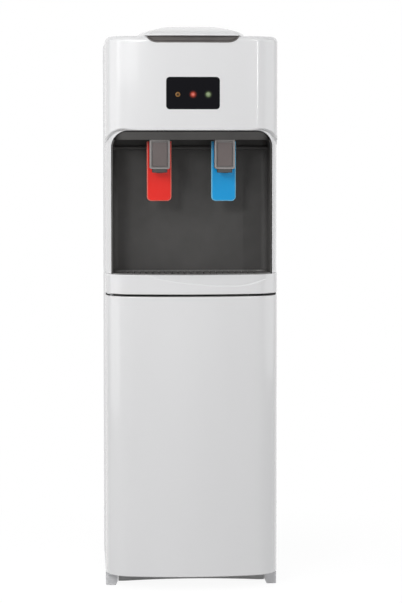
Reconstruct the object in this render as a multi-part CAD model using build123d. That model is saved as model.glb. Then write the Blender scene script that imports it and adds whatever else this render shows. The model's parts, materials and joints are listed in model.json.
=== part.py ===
from build123d import *
import math
import os

# Floor-standing water cooler that holds its bottle behind a tall door.
# Millimetres; origin on the floor under the middle; the front faces -Y, up is +Z.

# ---------- body ----------
body_width = 310.0
body_height = 992.0
front_y = -180.0            # foremost point of the bowed front
rear_y = 180.0              # rearmost wire of the condenser
bow_radius = 560.0          # plan radius of the front
corner_radius = 52.0        # plan radius where the front turns into the sides
skin = 3.0                  # wall of the moulded covers
sheet = 1.2                 # folded steel sheet
edge_round = 10.0           # rounding of the top edges
fit_gap = 0.4               # between pieces that lift out or slide in
face_gap = 0.3              # between curved faces that lie on each other

# ---------- heights ----------
base_low = 7.0
base_high = 21.0
door_low = 25.5
head_tall = 169.0           # above the niche
shelf_sheet = 1.5
shelf_lip = 12.0
lip_inset = 2.0
door_top_gap = 4.0
apron_tall = 35.0
niche_tall = 255.0
visor_tall = 15.0

base_inset = 2.0            # floor moulding inside the side sheets
base_setback = 4.0
pad_inset = 46.0
pad_forward = 14.0
pad_round = 24.0
pad_rise = 1.5
rib_half = 1.0

# ---------- depth ----------
seam_setback = 75.0         # front mouldings reach this far back from the bow
seam_gap = 1.5              # door and covers to the side panels
panel_rear_y = 158.0
rear_round = 6.0
rear_lap = 5.0              # back sheet inside the side sheets
panel_flange = 14.0
panel_drop = 2.0            # of the panels' tops under the covers' rounding
flange_short = 8.0          # front flange ends clear of the brackets

# ---------- door ----------
hinge_offset = 12.0         # pin axis in from the door's side and back
pin_radius = 3.0
running_gap = 0.06
pin_depth = 12.0
boss_length = 22.0
liner_thickness = 9.0
bracket_sheet = 2.0
bracket_reach = 30.0
bracket_inset = 3.0
bracket_setback = 2.0
bracket_lap = 26.0          # behind the side sheets' front edge
bracket_round = 7.0
boss_lap = 0.5
catch_inset = 37.0
catch_size = 24.0
catch_thickness = 5.0
catch_gap = 0.5
catch_drop = 18.0
magnet_deep = 10.0

# ---------- niche ----------
niche_band = 10.5           # white band left at each side of the niche
niche_round = 28.0
niche_deep = 118.0
reveal_step = 3.0           # the opening's rim lies this far behind the bow
reveal_round = 70.0         # and turns away sooner towards the sides
reveal_rise = 2.0
reveal_corner = 38.0
liner_wall = 2.5
visor_slope = 8.5
liner_setback = 1.5
ledge_drop = 12.0
ledge_tall = 7.0
ledge_depth = 11.0
ledge_round = 2.5
well_depth = 20.0
well_rim = 8.0
apron_shelf = 24.0          # floor left round the apron's open middle
well_kerb = 6.0             # the pan's low front edge, behind the apron's face
well_mouth = 50.0           # depth over which the pan has no more than its kerb

# ---------- apron's crease ----------
crease_left_x = -86.0
crease_low_x = 70.0
crease_right_x = 131.0
crease_drop = 19.6
crease_end_drop = 8.0
crease_depth = 0.6

# ---------- tray ----------
tray_wall = 1.8
tray_bead = 1.6             # the rim stands this far above the apron
tray_rim = 3.5
tray_rim_tall = 7.0
tray_overhang = 1.7         # of the rim past the walls below it
grille_thickness = 3.0
grille_drop = 2.0
grille_step = 1.6
slot_width = 5.0
slot_pitch = 11.5
slot_end = 12.0

# ---------- top, lid and grip ----------
grip_top_half = 81.5
grip_foot_half = 68.5
grip_tall = 11.5
grip_round = 9.0
grip_depth = 15.0
grip_wall = 1.6
grip_sink = 1.0
grip_notch = 8.0            # in the top skin behind the cup
lid_centre_y = -60.0
lid_half = 97.0
lid_front_half = 83.0
lid_rear_half = 74.0
lid_reach = 100.0           # from the lid's middle back to its shoulders
lid_bulge = 20.0
lid_rise = 17.5
lid_wall = 2.5
lid_setback = 1.0
lid_sweep = 6.5             # front edge's bow in plan
lid_wide_y = -12.0          # of the widest place, from the lid's middle
lid_arm_gap = 8.0           # between the dome and the hinge arm
lid_pivot_y = 66.0
knuckle_radius = 4.0
knuckle_half = 30.0
lid_pin_radius = 1.5
lug_width = 6.0
lug_gap = 0.5
well_half_x = 60.0
well_front_y = -94.0
well_rear_y = 26.0
well_fall = 13.0
well_corner = 14.0
lid_pivot_rise = 1.0
lug_foot = 4.0
arm_thick = 6.0

# ---------- indicator ----------
lens_wide = 94.7
lens_tall = 56.7
lens_rise = 39.3            # above the niche
lens_round = 6.2
lens_thickness = 1.8
lens_ledge = 3.0
lens_gap = 0.15
led_pitch = 27.0
led_rise = 26.0
led_radius = 4.4
led_bevel = 1.4
led_sink = 0.2
board_setback = 12.0
board_thickness = 1.6
board_margin = 6.0
post_radius = 2.5
post_sink = 2.0             # the bowed wall lies this far behind its middle at the posts

# ---------- taps ----------
tap_x = 58.0
tap_wide = 36.0
tap_setback = 22.0
tap_deep = 29.0
tap_tall = 52.4
tap_round = 4.0
tap_bevel = 1.2
face_border = 5.2
face_sink = 0.8
face_groove = 2.4
face_thick = 1.6
nozzle_block = 6.2
nozzle_wide = 27.0
nozzle_radius = 7.0
nozzle_bore = 4.5
nozzle_drop = 0.8
nozzle_half_deep = 10.0
nozzle_forward = 3.0
nozzle_round = 4.0
spigot_radius = 6.0
spigot_rise = 8.0
paddle_wide = 44.5
paddle_tall = 108.0
paddle_top_gap = 2.5
paddle_gap = 7.0            # behind the tap
paddle_thick = 4.0
paddle_round = 8.0
paddle_bevel = 1.3
paddle_pivot_back = 7.0     # behind the plate
paddle_pivot_drop = 7.0     # under the plate's top
paddle_pin_radius = 1.5
ear_inner = 8.0
ear_thick = 3.0
ear_radius = 5.0
ear_fall = 14.0
spring_sheet = 0.5
spring_wide = 9.0
spring_reach = 24.0
spring_back = 3.0           # behind the paddle's ears
spring_foot = 8.0
spring_fall = 10.0
spring_toe = 1.0

# ---------- feet ----------
foot_wide = 22.0
foot_deep = 34.0
foot_taper = 4.5
rear_foot_radius = 13.0
rear_foot_inset = 24.0
rear_foot_bevel = 2.0
foot_forward = 3.0          # before the floor moulding
foot_room = 3.0             # between a front foot and the moulding behind it
foot_step = 1.0
foot_round = 4.0

# ---------- water and cold parts ----------
reservoir_y = -28.0
reservoir_radius = 72.0
reservoir_rise = 35.0       # above the niche
reservoir_drop = 36.0       # under the top
tank_wall = 1.5
tank_chamfer = 6.0
insulation_wall = 16.0
insulation_drop = 4.0       # of the jacket under the tank's top
neck_radius = 34.0
neck_rise = 8.0
cap_radius = 42.0
cap_tall = 11.0
cap_ribs = 8
cap_notch = 2.2
cap_bar = 12.0
cap_bar_tall = 5.0
cap_gap = 1.0               # over the well's floor
cap_bevel = 2.0
cap_play = 0.5              # over the neck's rim
hot_tank_inset = 69.0
hot_tank_back = 92.0
hot_tank_radius = 46.0
hot_tank_rise = 33.5
hot_tank_tall = 170.0
hot_tank_dome = 10.0
stand_radius = 30.0
outlet_gap = 4.0
compressor_gap = 27.0       # between the hot tank and the compressor
compressor_back = 100.0
compressor_radius = 55.0
compressor_tall = 140.0
compressor_dome = 24.0
compressor_foot = 12.0
compressor_sink = 1.0       # of the shell into its plate
compressor_round = 13.0
compressor_seam = 78.0
compressor_lip = 2.0
grommet_radius = 9.0
grommet_tall = 10.0
grommet_inset = 12.0
tube_radius = 4.0
tube_bend = 12.0
tube_sides = 6
tube_rise = 16.0            # over the taps' spigots
tube_lead = 40.0
tube_step = 20.0            # cold tube above the hot one
tube_end_gap = 10.0
tube_sink = 5.0             # into the jacket
pump_inset = 59.0
pump_back = 36.0
pump_radius = 20.0
pump_tall = 46.0
pump_bevel = 3.0
inlet_reach = 12.0
inlet_back = 10.0           # behind the pump's middle
inlet_rise = 12.0
hose_bend = 14.0
probe_inset = 37.0
probe_back = 26.0
probe_radius = 6.0
probe_low = 60.0
probe_drop = 85.0           # under the shelf
probe_cap_radius = 22.0
probe_cap_bevel = 2.0
nipple_tall = 8.0
probe_clip_drop = 60.0      # under the probe's cap
probe_clip_half = 9.0
probe_clip_tall = 7.0
probe_clip_mouth = 4.0
clip_plate_half = 12.0
clip_plate_tall = 10.0
clip_plate_thick = 2.0
probe_cap_tall = 16.0

# ---------- back ----------
coil_tube = 2.5
coil_wire = 0.8
coil_left_inset = 27.0
coil_right_inset = 63.0
coil_low = 250.0
coil_drop = 174.0           # under the top
coil_passes = 7
coil_wires = 9
wire_end = 12.0
clip_half = 4.0
vent_wide = 80.0
vent_tall = 5.0
vent_pitch = 13.0
vent_rows = 7
vent_rise = 41.0
switch_inset = 43.0
switch_drop = 79.0
switch_pitch = 26.0
rocker_wide = 12.0
rocker_tall = 22.0
rocker_tilt = 8.0
rocker_near = 1.3
rocker_thick = 2.4
rocker_pivot = 0.6
bezel_thick = 3.0
bezel_margin = 2.0
bezel_margin_tall = 7.0
bezel_round = 3.0
bezel_floor = 0.6
rocker_room = 1.0
drain_inset = 31.0
drain_rise = 85.0
drain_radius = 9.0
drain_reach = 10.0
drain_step = 3.0            # spigot inside its flange and cap
drain_flange = 2.0
drain_sink = 4.0
drain_cap_top = 3.0
drain_cap_play = 0.2
drain_flats = 6
flat_radius = 3.0
flat_offset = 1.5
gland_rise = 35.0
gland_radius = 9.0
gland_wall = 2.0
gland_tall = 4.0
gland_bevel = 1.5
gland_sink = 3.0
gland_bore = 3.5

half_width = body_width / 2
shelf_low = body_height - head_tall - niche_tall - apron_tall
door_high = shelf_low - door_top_gap
apron_high = shelf_low + apron_tall
niche_high = apron_high + niche_tall
ceiling_low = niche_high - visor_tall
ledge_high = ceiling_low - ledge_drop
niche_half = half_width - niche_band
niche_back_y = front_y + niche_deep
lens_low = niche_high + lens_rise
led_height = lens_low + led_rise
board_y = front_y + board_setback
tap_front_y = front_y + tap_setback
tap_low = ceiling_low - tap_tall
paddle_high = ceiling_low - paddle_top_gap
paddle_low = paddle_high - paddle_tall
paddle_front_y = tap_front_y + tap_deep + paddle_gap
paddle_pivot_y = paddle_front_y + paddle_thick + paddle_pivot_back
paddle_pivot_z = paddle_high - paddle_pivot_drop
reservoir_low = niche_high + reservoir_rise
reservoir_high = body_height - reservoir_drop
hot_tank_x = half_width - hot_tank_inset
hot_tank_y = panel_rear_y - hot_tank_back
hot_tank_low = shelf_low + shelf_sheet + hot_tank_rise
hot_tank_high = hot_tank_low + hot_tank_tall
compressor_x = hot_tank_x - hot_tank_radius - compressor_gap - compressor_radius
compressor_y = panel_rear_y - compressor_back
pump_x = half_width - pump_inset
pump_y = panel_rear_y - pump_back
probe_x = probe_inset - half_width
probe_y = panel_rear_y - probe_back
probe_high = shelf_low - probe_drop
coil_left_x = coil_left_inset - half_width
coil_right_x = half_width - coil_right_inset
coil_pitch = (body_height - coil_drop - coil_low) / (coil_passes - 1)
vent_low = shelf_low + vent_rise
switch_x = half_width - switch_inset
switch_z = body_height - switch_drop
drain_x = half_width - drain_inset
drain_z = shelf_low + drain_rise
gland_z = shelf_low + gland_rise
catch_x = half_width - catch_inset
seam_y = front_y + seam_setback
panel_front_y = seam_y + seam_gap
panel_high = body_height - edge_round - panel_drop
bow_centre_y = front_y + bow_radius
hinge_x = hinge_offset - half_width
hinge_y = seam_y - hinge_offset
rear_face_y = panel_rear_y + sheet


# ---------- shapes used again ----------
def block(x, y, z):
    """Box from three (low, high) pairs."""
    size = Box(x[1] - x[0], y[1] - y[0], z[1] - z[0], align=(Align.MIN, Align.MIN, Align.MIN))
    return Pos(x[0], y[0], z[0]) * size


def rod_x(low, high, y, z, radius):
    return Pos((low + high) / 2, y, z) * Rot(0, 90, 0) * Cylinder(radius, high - low)


def rod_y(x, low, high, z, radius):
    return Pos(x, (low + high) / 2, z) * Rot(90, 0, 0) * Cylinder(radius, high - low)


def rod_z(x, y, low, high, radius):
    return Pos(x, y, (low + high) / 2) * Cylinder(radius, high - low)


def slab(outline, low, high):
    """Prism of a plan outline between two heights."""
    return extrude(Pos(0, 0, low) * outline, amount=high - low)


def front_prism(outline, near, far):
    """Prism of a front-view outline between two depths."""
    return extrude(Pos(0, far, 0) * (Plane.XZ * outline), amount=far - near)


def side_prism(outline, left, right):
    """Prism of a side-view outline (y across, z up) between two widths."""
    return extrude(Pos(left, 0, 0) * (Plane.YZ * outline), amount=right - left)


def corner_place(radius):
    """Centre of the plan's right-hand corner arc, which the bow touches."""
    x = half_width - radius
    return x, bow_centre_y - math.sqrt((bow_radius - radius) ** 2 - x ** 2)


def bow_outline(inset, back, radius=corner_radius):
    """Plan outline: bowed front, round corners and straight sides back to y = back."""
    corner_x, corner_y = corner_place(radius)
    bow_sin = corner_x / (bow_radius - radius)
    bow_cos = (bow_centre_y - corner_y) / (bow_radius - radius)
    side = half_width - inset
    corner = radius - inset
    bow = bow_radius - inset
    touch_x = bow * bow_sin
    touch_y = bow_centre_y - bow * bow_cos
    half_turn = math.atan2(bow_cos, bow_sin) / 2
    middle_x = corner_x + corner * math.cos(half_turn)
    middle_y = corner_y - corner * math.sin(half_turn)
    front = ThreePointArc((touch_x, touch_y), (0, front_y + inset), (-touch_x, touch_y))
    right = ThreePointArc((side, corner_y), (middle_x, middle_y), (touch_x, touch_y))
    left = ThreePointArc((-touch_x, touch_y), (-middle_x, middle_y), (-side, corner_y))
    edges = [
        Line((side, back), (side, corner_y)),
        right,
        front,
        left,
        Line((-side, corner_y), (-side, back)),
        Line((-side, back), (side, back)),
    ]
    return make_face(edges)


def bow_skin(inset, thickness, back, low, high):
    """Bowed wall of even thickness, open at the back."""
    outer = slab(bow_outline(inset, back), low, high)
    return outer - slab(bow_outline(inset + thickness, back + 1), low, high)


def arch_outline(half, low, high, radius):
    """Front-view outline with square lower and round upper corners."""
    corner = radius * (1 - math.sqrt(0.5))
    right = ThreePointArc((half, high - radius), (half - corner, high - corner), (half - radius, high))
    left = ThreePointArc((radius - half, high), (corner - half, high - corner), (-half, high - radius))
    edges = [
        Line((-half, low), (half, low)),
        Line((half, low), (half, high - radius)),
        right,
        Line((half - radius, high), (radius - half, high)),
        left,
        Line((-half, high - radius), (-half, low)),
    ]
    return make_face(edges)


def hinge_stile(prism, inset, back):
    """Rounds the rear edge on the hinge side about the pin's axis."""
    middle = prism.center().Z
    edge = prism.edges().filter_by(Axis.Z).sort_by_distance((inset - half_width, back, middle))[0]
    return fillet(edge, hinge_offset - inset)


def bent_tube(points, radius, bend):
    """Six-sided tube along straight runs joined by tangent arcs."""
    path = FilletPolyline(*points, radius=bend)
    start = Plane(origin=path @ 0, z_dir=path % 0)
    return sweep(start * RegularPolygon(radius, tube_sides), path=path)


# ---------- base and feet ----------
base_front_y = corner_place(corner_radius)[1] + base_setback


def base_tray():
    """Floor moulding: a ribbed tray turned upside down, with a pad for the bottle."""
    inner = half_width - base_inset
    rear = panel_rear_y - base_inset
    rib_low = base_low + skin
    solid = block((-inner, inner), (base_front_y, rear), (base_low, base_high))
    solid = solid - block((skin - inner, inner - skin), (base_front_y + skin, rear - skin),
                          (base_low, base_high - skin))
    for share in (0.25, 0.5, 0.75):
        x = -inner + 2 * inner * share
        y = base_front_y + (rear - base_front_y) * share
        solid = solid + block((x - rib_half, x + rib_half), (base_front_y, rear), (rib_low, base_high))
        solid = solid + block((-inner, inner), (y - rib_half, y + rib_half), (rib_low, base_high))
    middle_y = (panel_front_y + panel_rear_y) / 2 - pad_forward
    size = RectangleRounded(body_width - 2 * pad_inset, panel_rear_y - panel_front_y - pad_inset, pad_round)
    solid = solid + slab(Pos(0, middle_y) * size, base_high, base_high + pad_rise)
    notch = foot_deep + foot_room
    foot_side = half_width - foot_wide - fit_gap
    for side in (-1, 1):
        x = sorted((side * foot_side, side * half_width))
        solid = solid - block(x, (base_front_y - 1, base_front_y + notch), (base_low - 1, base_high + 1))
    reach = foot_side - foot_wide / 2
    arch = ThreePointArc((-reach, base_low), (0, base_low + skin), (reach, base_low))
    arch_face = make_face([arch, Line((reach, base_low), (-reach, base_low))])
    return solid - front_prism(arch_face, base_front_y - 1, base_front_y + skin + 1)


def front_feet():
    """Two front feet with slanted inner sides, flush with the body's sides."""
    outline = Polyline(
        (half_width, 0), (half_width - foot_wide + foot_taper, 0),
        (half_width - foot_wide + foot_step, base_low), (half_width - foot_wide, base_high),
        (half_width, base_high), close=True,
    )
    near = base_front_y - foot_forward
    foot = front_prism(make_face(outline), near, near + foot_deep)
    foot = fillet(foot.edges().filter_by(Axis.Z).sort_by(Axis.Y)[:1], foot_round)
    return Compound(children=[foot, mirror(foot, about=Plane.YZ)])


def rear_feet():
    """Two round rear feet under the floor moulding, each on a boss that fills its hollow."""
    x = half_width - rear_foot_inset
    y = panel_rear_y - rear_foot_inset
    foot = rod_z(x, y, 0, base_high - skin, rear_foot_radius)
    foot = chamfer(foot.edges().sort_by(Axis.Z)[0], rear_foot_bevel)
    return Compound(children=[foot, mirror(foot, about=Plane.YZ)])


# ---------- sheet-metal body ----------
def left_side_panel():
    """Side sheet with a flange folded in at the front and the back."""
    flange = panel_flange
    outer = half_width
    y0 = panel_front_y
    y1 = panel_rear_y
    low = base_high
    wall = block((-outer, sheet - outer), (y0, y1), (low, panel_high))
    front = block((-outer, flange - outer), (y0, y0 + sheet),
                  (low + flange_short, door_high - flange_short))
    rear = block((-outer, flange - outer), (y1 - sheet, y1), (low, panel_high))
    panel = wall + front + rear
    corner = panel.edges().filter_by(Axis.Z).sort_by_distance((-outer, y1, body_height / 2))[0]
    return fillet(corner, sheet - 0.1)


def right_side_panel():
    return mirror(left_side_panel(), about=Plane.YZ)


def rear_panel():
    """Back sheet on the side flanges, with rows of vents behind the compressor."""
    half = half_width - rear_lap
    panel = block((-half, half), (panel_rear_y, rear_face_y),
                  (base_high + base_inset, panel_high - base_inset))
    vents = [
        block(
            (compressor_x - vent_wide / 2, compressor_x + vent_wide / 2),
            (panel_rear_y - 1, rear_face_y + 1),
            (vent_low + row * vent_pitch, vent_low + row * vent_pitch + vent_tall),
        )
        for row in range(vent_rows)
    ]
    for vent in vents:
        panel = panel - vent
    panel = panel - rod_y(drain_x, panel_rear_y - 1, rear_face_y + 1, drain_z,
                          drain_radius - drain_step)
    return panel - rod_y(drain_x, panel_rear_y - 1, rear_face_y + 1, gland_z, gland_radius - gland_wall)


def divider_shelf():
    """Steel shelf over the bottle bay that carries the compressor and the hot tank."""
    half = half_width - sheet
    shelf = block((-half, half), (panel_front_y, panel_rear_y - sheet),
                  (shelf_low, shelf_low + shelf_sheet))
    lip = block((lip_inset - half, half - lip_inset), (panel_rear_y - 2 * sheet, panel_rear_y - sheet),
                (shelf_low, shelf_low + shelf_lip))
    return shelf + lip


def hinge_bracket(low, high, pin_low, pin_high):
    """Steel plate with the door's fixed pin."""
    plate = block(
        (hinge_x - hinge_offset + bracket_inset, hinge_x - hinge_offset + bracket_reach),
        (hinge_y - hinge_offset + bracket_setback, panel_front_y + bracket_lap), (low, high),
    )
    plate = fillet(plate.edges().filter_by(Axis.Z).sort_by(Axis.Y)[:2], bracket_round)
    return plate + rod_z(hinge_x, hinge_y, pin_low, pin_high, pin_radius)


def lower_hinge_bracket():
    top = base_high + bracket_sheet
    return hinge_bracket(base_high, top, base_high, door_low + pin_depth)


def upper_hinge_bracket():
    low = shelf_low - bracket_sheet
    return hinge_bracket(low, shelf_low, door_high - pin_depth, shelf_low)


def catch_magnet():
    """Magnet under the shelf that holds the door shut."""
    return block(
        (catch_x - catch_size / 2, catch_x + catch_size / 2),
        (seam_y + catch_gap, seam_y + catch_gap + magnet_deep), (shelf_low - catch_drop, shelf_low),
    )


# ---------- front mouldings ----------
def lens_outline(margin):
    centre = lens_low + lens_tall / 2
    size = RectangleRounded(lens_wide + 2 * margin, lens_tall + 2 * margin, lens_round + margin)
    return Pos(0, centre) * size


def grip_outline(margin, top):
    """Front-view outline of the finger recess, narrower at its foot."""
    foot = body_height - grip_tall - grip_sink
    low = foot - margin
    flare = (grip_top_half - grip_foot_half) / grip_tall
    low_half = grip_foot_half + (low - foot) * flare + margin
    top_half = grip_foot_half + (top - foot) * flare + margin
    corners = [(-low_half, low), (low_half, low), (top_half, top), (-top_half, top)]
    face = make_face(Polyline(*corners, close=True))
    return fillet(face.vertices().sort_by(Axis.Y)[:2], grip_round)


def reveal_outline(setback, back=0.0):
    """Plan outline of the rim round the niche opening, some way behind it."""
    drop = reveal_step + setback
    return Pos(0, drop, 0) * bow_outline(0, back - drop, reveal_round)


def niche_reveal(fascia):
    """Gives the niche opening a stepped rim that turns away towards the sides."""
    low = apron_high + face_gap
    high = niche_high + reveal_rise
    wide = half_width + 1
    frame = front_prism(arch_outline(wide, low, high + skin, reveal_corner + skin), front_y, seam_y)
    frame = frame & slab(bow_outline(0, seam_y), low, high + skin)
    frame = frame - slab(reveal_outline(skin), low - 1, high + skin + 1)
    pocket = front_prism(arch_outline(wide, low - 1, high, reveal_corner), front_y - 1, seam_y + 1)
    pocket = pocket - slab(reveal_outline(0), low - 2, high + 1)
    opening = arch_outline(niche_half, low - 1, niche_high, niche_round)
    return fascia + frame - pocket - front_prism(opening, front_y - 1, seam_y - 1)


def front_fascia():
    """Upper front moulding with the niche opening, lens window and finger recess."""
    low = apron_high + face_gap
    outer = slab(bow_outline(0, seam_y), low, body_height)
    top_edges = outer.faces().sort_by(Axis.Z)[-1].edges()
    outer = fillet([edge for edge in top_edges if edge.center().Y < seam_y - 1], edge_round)
    inner = slab(bow_outline(skin, seam_y + 1), low - 1, body_height - skin)
    fascia = outer - inner
    fascia = niche_reveal(fascia)
    grip = grip_outline(0, body_height + 1)
    fascia = fascia - front_prism(grip, front_y - 1, front_y + grip_depth + grip_notch)
    window = front_prism(lens_outline(-lens_ledge), front_y - 1, board_y)
    pocket = front_prism(lens_outline(lens_gap), front_y - 1, board_y)
    pocket = pocket & bow_skin(-1, lens_thickness + 1, seam_y, lens_low - 5, lens_low + lens_tall + 5)
    fascia = fascia - window - pocket
    for x, z in board_corners():
        post = Pos(x, z) * RegularPolygon(post_radius, 6)
        fascia = fascia + front_prism(post, front_y + skin + post_sink, board_y)
    return fascia


def board_corners():
    half = lens_wide / 2 + board_margin - post_radius
    low = lens_low - board_margin + post_radius
    high = lens_low + lens_tall + board_margin - post_radius
    return [(x, z) for x in (-half, half) for z in (low, high)]


def grip_inset():
    """Dark cup behind the finger recess, open to the front and the top."""
    top = body_height - face_gap
    outer = front_prism(grip_outline(-fit_gap, top), front_y, front_y + grip_depth)
    inner = front_prism(grip_outline(-fit_gap - grip_wall, top + 1), front_y - 1,
                        front_y + grip_depth - grip_wall)
    return (outer - inner) & slab(bow_outline(grip_sink, seam_y), body_height - 2 * grip_tall, body_height)


def swoosh_outline():
    """Front-view outline between the apron's top edge and its falling crease."""
    top = apron_high + 1
    end = (crease_right_x, apron_high - crease_end_drop)
    crease = Spline((crease_left_x, top), (crease_low_x, apron_high - crease_drop), end,
                    tangents=[(1, -0.28), (0.7, 1)])
    corner = (crease_right_x, top)
    return make_face([crease, Line(end, corner), Line(corner, (crease_left_x, top))])


def tray_apron():
    """White band under the niche: bowed face, floor, and a rim round the tray's well."""
    low = shelf_low
    outer = slab(bow_outline(0, seam_y), low, apron_high)
    inner = slab(bow_outline(skin, seam_y + 1), low + skin, apron_high - skin)
    mouth = slab(bow_outline(well_rim, seam_y + 1), low + skin, apron_high + 1)
    apron = outer - inner - mouth
    floor_cut = slab(bow_outline(apron_shelf, seam_y + 1), low - 1, low + skin + 1)
    relief = front_prism(swoosh_outline(), front_y - 1, seam_y)
    relief = relief & bow_skin(-1, 1 + crease_depth, seam_y, low, apron_high + 1)
    return apron - floor_cut - relief


def niche_liner():
    """Dark insert: visor, ceiling, side and back walls, ledge and the paddles' lugs."""
    half = niche_half - fit_gap
    top = niche_high - fit_gap
    radius = niche_round - fit_gap
    back = niche_back_y + liner_wall
    shell = front_prism(arch_outline(half, apron_high, top, radius), front_y, back)
    shell = shell & slab(reveal_outline(liner_setback, back), apron_high, top)
    room = front_prism(
        arch_outline(half - liner_wall, apron_high - 1, top - liner_wall, radius - liner_wall),
        front_y - 1, niche_back_y,
    )
    room = room & block((-half, half), (front_y - 1, niche_back_y), (apron_high - 1, ceiling_low))
    visor = loft([
        Pos(0, 0, ceiling_low) * reveal_outline(liner_setback + visor_slope, back),
        Pos(0, 0, top) * reveal_outline(liner_setback, back),
    ])
    keep = block((-half, half), (front_y, back), (apron_high - 1, ceiling_low)) + visor
    shell = (shell - room) & keep
    ledge = block((-half + 1, half - 1), (niche_back_y - ledge_depth, niche_back_y + 1),
                  (ledge_high - ledge_tall, ledge_high))
    ledge = fillet(ledge.edges().filter_by(Axis.X).sort_by(Axis.Y)[:2], ledge_round)
    liner = shell + ledge
    for x in (-tap_x, tap_x):
        liner = liner + paddle_lugs(x)
        liner = liner - rod_z(x, tap_spigot_y(), ceiling_low - 1, niche_high + 1, spigot_radius)
    return liner


def tray_well():
    """Dark pan under the niche that the drip tray drops into."""
    half = niche_half - fit_gap
    low = apron_high - well_depth
    back = niche_back_y + liner_wall
    well = slab(bow_outline(well_rim + fit_gap, back), low - liner_wall, apron_high)
    well = well & block((-half, half), (front_y, back), (low - liner_wall, apron_high))
    hollow = slab(bow_outline(well_rim + fit_gap + liner_wall, niche_back_y), low, apron_high + 1)
    hollow = hollow & block((liner_wall - half, half - liner_wall), (front_y, niche_back_y),
                            (low, apron_high + 1))
    mouth = block((-half, half), (front_y, front_y + well_mouth), (low + well_kerb, apron_high + 1))
    return well - hollow - mouth


def tap_spigot_y():
    return tap_front_y + tap_deep / 2


def paddle_lugs(x):
    """Two lugs under the ceiling that hold a paddle's pin."""
    inner = ear_inner + ear_thick + fit_gap
    outline = Polyline(
        (paddle_pivot_y - ear_radius, ceiling_low + 1), (paddle_pivot_y - ear_radius, paddle_pivot_z),
        (paddle_pivot_y + ear_radius, paddle_pivot_z), (paddle_pivot_y + ear_radius, ceiling_low + 1),
        close=True,
    )
    side = make_face(outline) + Pos(paddle_pivot_y, paddle_pivot_z) * Circle(ear_radius)
    side = side - Pos(paddle_pivot_y, paddle_pivot_z) * Circle(paddle_pin_radius)
    left = side_prism(side, x - inner - ear_thick, x - inner)
    return left + side_prism(side, x + inner, x + inner + ear_thick)


# ---------- drip tray ----------
def tray_edge():
    return well_rim + 2 * fit_gap + liner_wall


def tray_half():
    return niche_half - 2 * fit_gap - liner_wall


def tray_prism(inset, low, high):
    """Plan shape of the tray, drawn in by an inset."""
    half = tray_half() - inset
    back = niche_back_y - fit_gap - inset
    plan = slab(bow_outline(tray_edge() + inset, back), low, high)
    return plan & block((-half, half), (front_y, back), (low, high))


def drip_tray():
    """Lift-out tray with an overhanging rim and a step that carries the grille."""
    low = apron_high - well_depth
    top = apron_high + tray_bead
    tray = tray_prism(0, top - tray_rim_tall, top) + tray_prism(tray_overhang, low, top - 1)
    tray = tray - tray_prism(tray_rim, grille_low(), top + 1)
    return tray - tray_prism(tray_rim + grille_step, low + tray_wall, top + 1)


def grille_low():
    return apron_high + tray_bead - grille_drop - grille_thickness


def drip_grille():
    """Slotted plate that lies in the tray."""
    low = grille_low()
    high = low + grille_thickness
    plate = tray_prism(tray_rim + fit_gap, low, high)
    back = niche_back_y - fit_gap - tray_rim - slot_end
    count = int((tray_half() - tray_rim - slot_end) // slot_pitch)
    room = tray_prism(tray_rim + slot_end, low - 1, high + 1)
    bars = [
        block((x - slot_width / 2, x + slot_width / 2), (front_y, back), (low - 1, high + 1))
        for x in [index * slot_pitch for index in range(-count, count + 1)]
    ]
    return plate - (Compound(children=bars) & room)


# ---------- top cover and lid ----------
def top_cover():
    """Top moulding with a sunk well round the reservoir's neck and lugs for the lid."""
    low = panel_high + face_gap
    back = rear_face_y
    size = Rectangle(body_width, back - seam_y - face_gap)
    outline = Pos(0, (back + seam_y + face_gap) / 2) * size
    cover = slab(outline, low, body_height)
    rear_corners = cover.edges().filter_by(Axis.Z).sort_by(Axis.Y)[-2:]
    cover = fillet(rear_corners, rear_round)
    rim = [edge for edge in cover.faces().sort_by(Axis.Z)[-1].edges() if edge.center().Y > seam_y + 1]
    cover = fillet(rim, edge_round)
    hollow = block((skin - half_width, half_width - skin), (seam_y + skin + 1, back - skin),
                   (low - 1, body_height - skin))
    cover = cover - hollow
    well_low = body_height - well_fall - liner_wall
    well = lid_well(0, well_low, body_height - 1)
    cover = cover + well - lid_well(liner_wall, body_height - well_fall, body_height + 1)
    cover = cover - rod_z(0, reservoir_y, well_low - 1, body_height, neck_radius + fit_gap)
    return cover + lid_lugs()


def lid_well(inset, low, high):
    middle_y = (well_front_y + well_rear_y) / 2
    long = well_rear_y - well_front_y - 2 * inset
    size = RectangleRounded(2 * (well_half_x - inset), long, well_corner - inset)
    return slab(Pos(0, middle_y) * size, low, high)


def lid_pivot_z():
    return body_height + knuckle_radius + lid_pivot_rise


def lid_lugs():
    """Two lugs behind the lid that hold its pin."""
    z = lid_pivot_z()
    outline = make_face(Polyline(
        (lid_pivot_y - knuckle_radius, body_height - 1), (lid_pivot_y - knuckle_radius, z),
        (lid_pivot_y + knuckle_radius, z), (lid_pivot_y + knuckle_radius + lug_foot, body_height - 1),
        close=True,
    ))
    outline = outline + Pos(lid_pivot_y, z) * Circle(knuckle_radius)
    outline = outline - Pos(lid_pivot_y, z) * Circle(lid_pin_radius)
    near = knuckle_half + lug_gap
    right = side_prism(outline, near, near + lug_width)
    return right + mirror(right, about=Plane.YZ)


def lid_hinge_pin():
    end = knuckle_half + lug_gap + lug_width
    return rod_x(-end, end, lid_pivot_y, lid_pivot_z(), lid_pin_radius)


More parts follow.
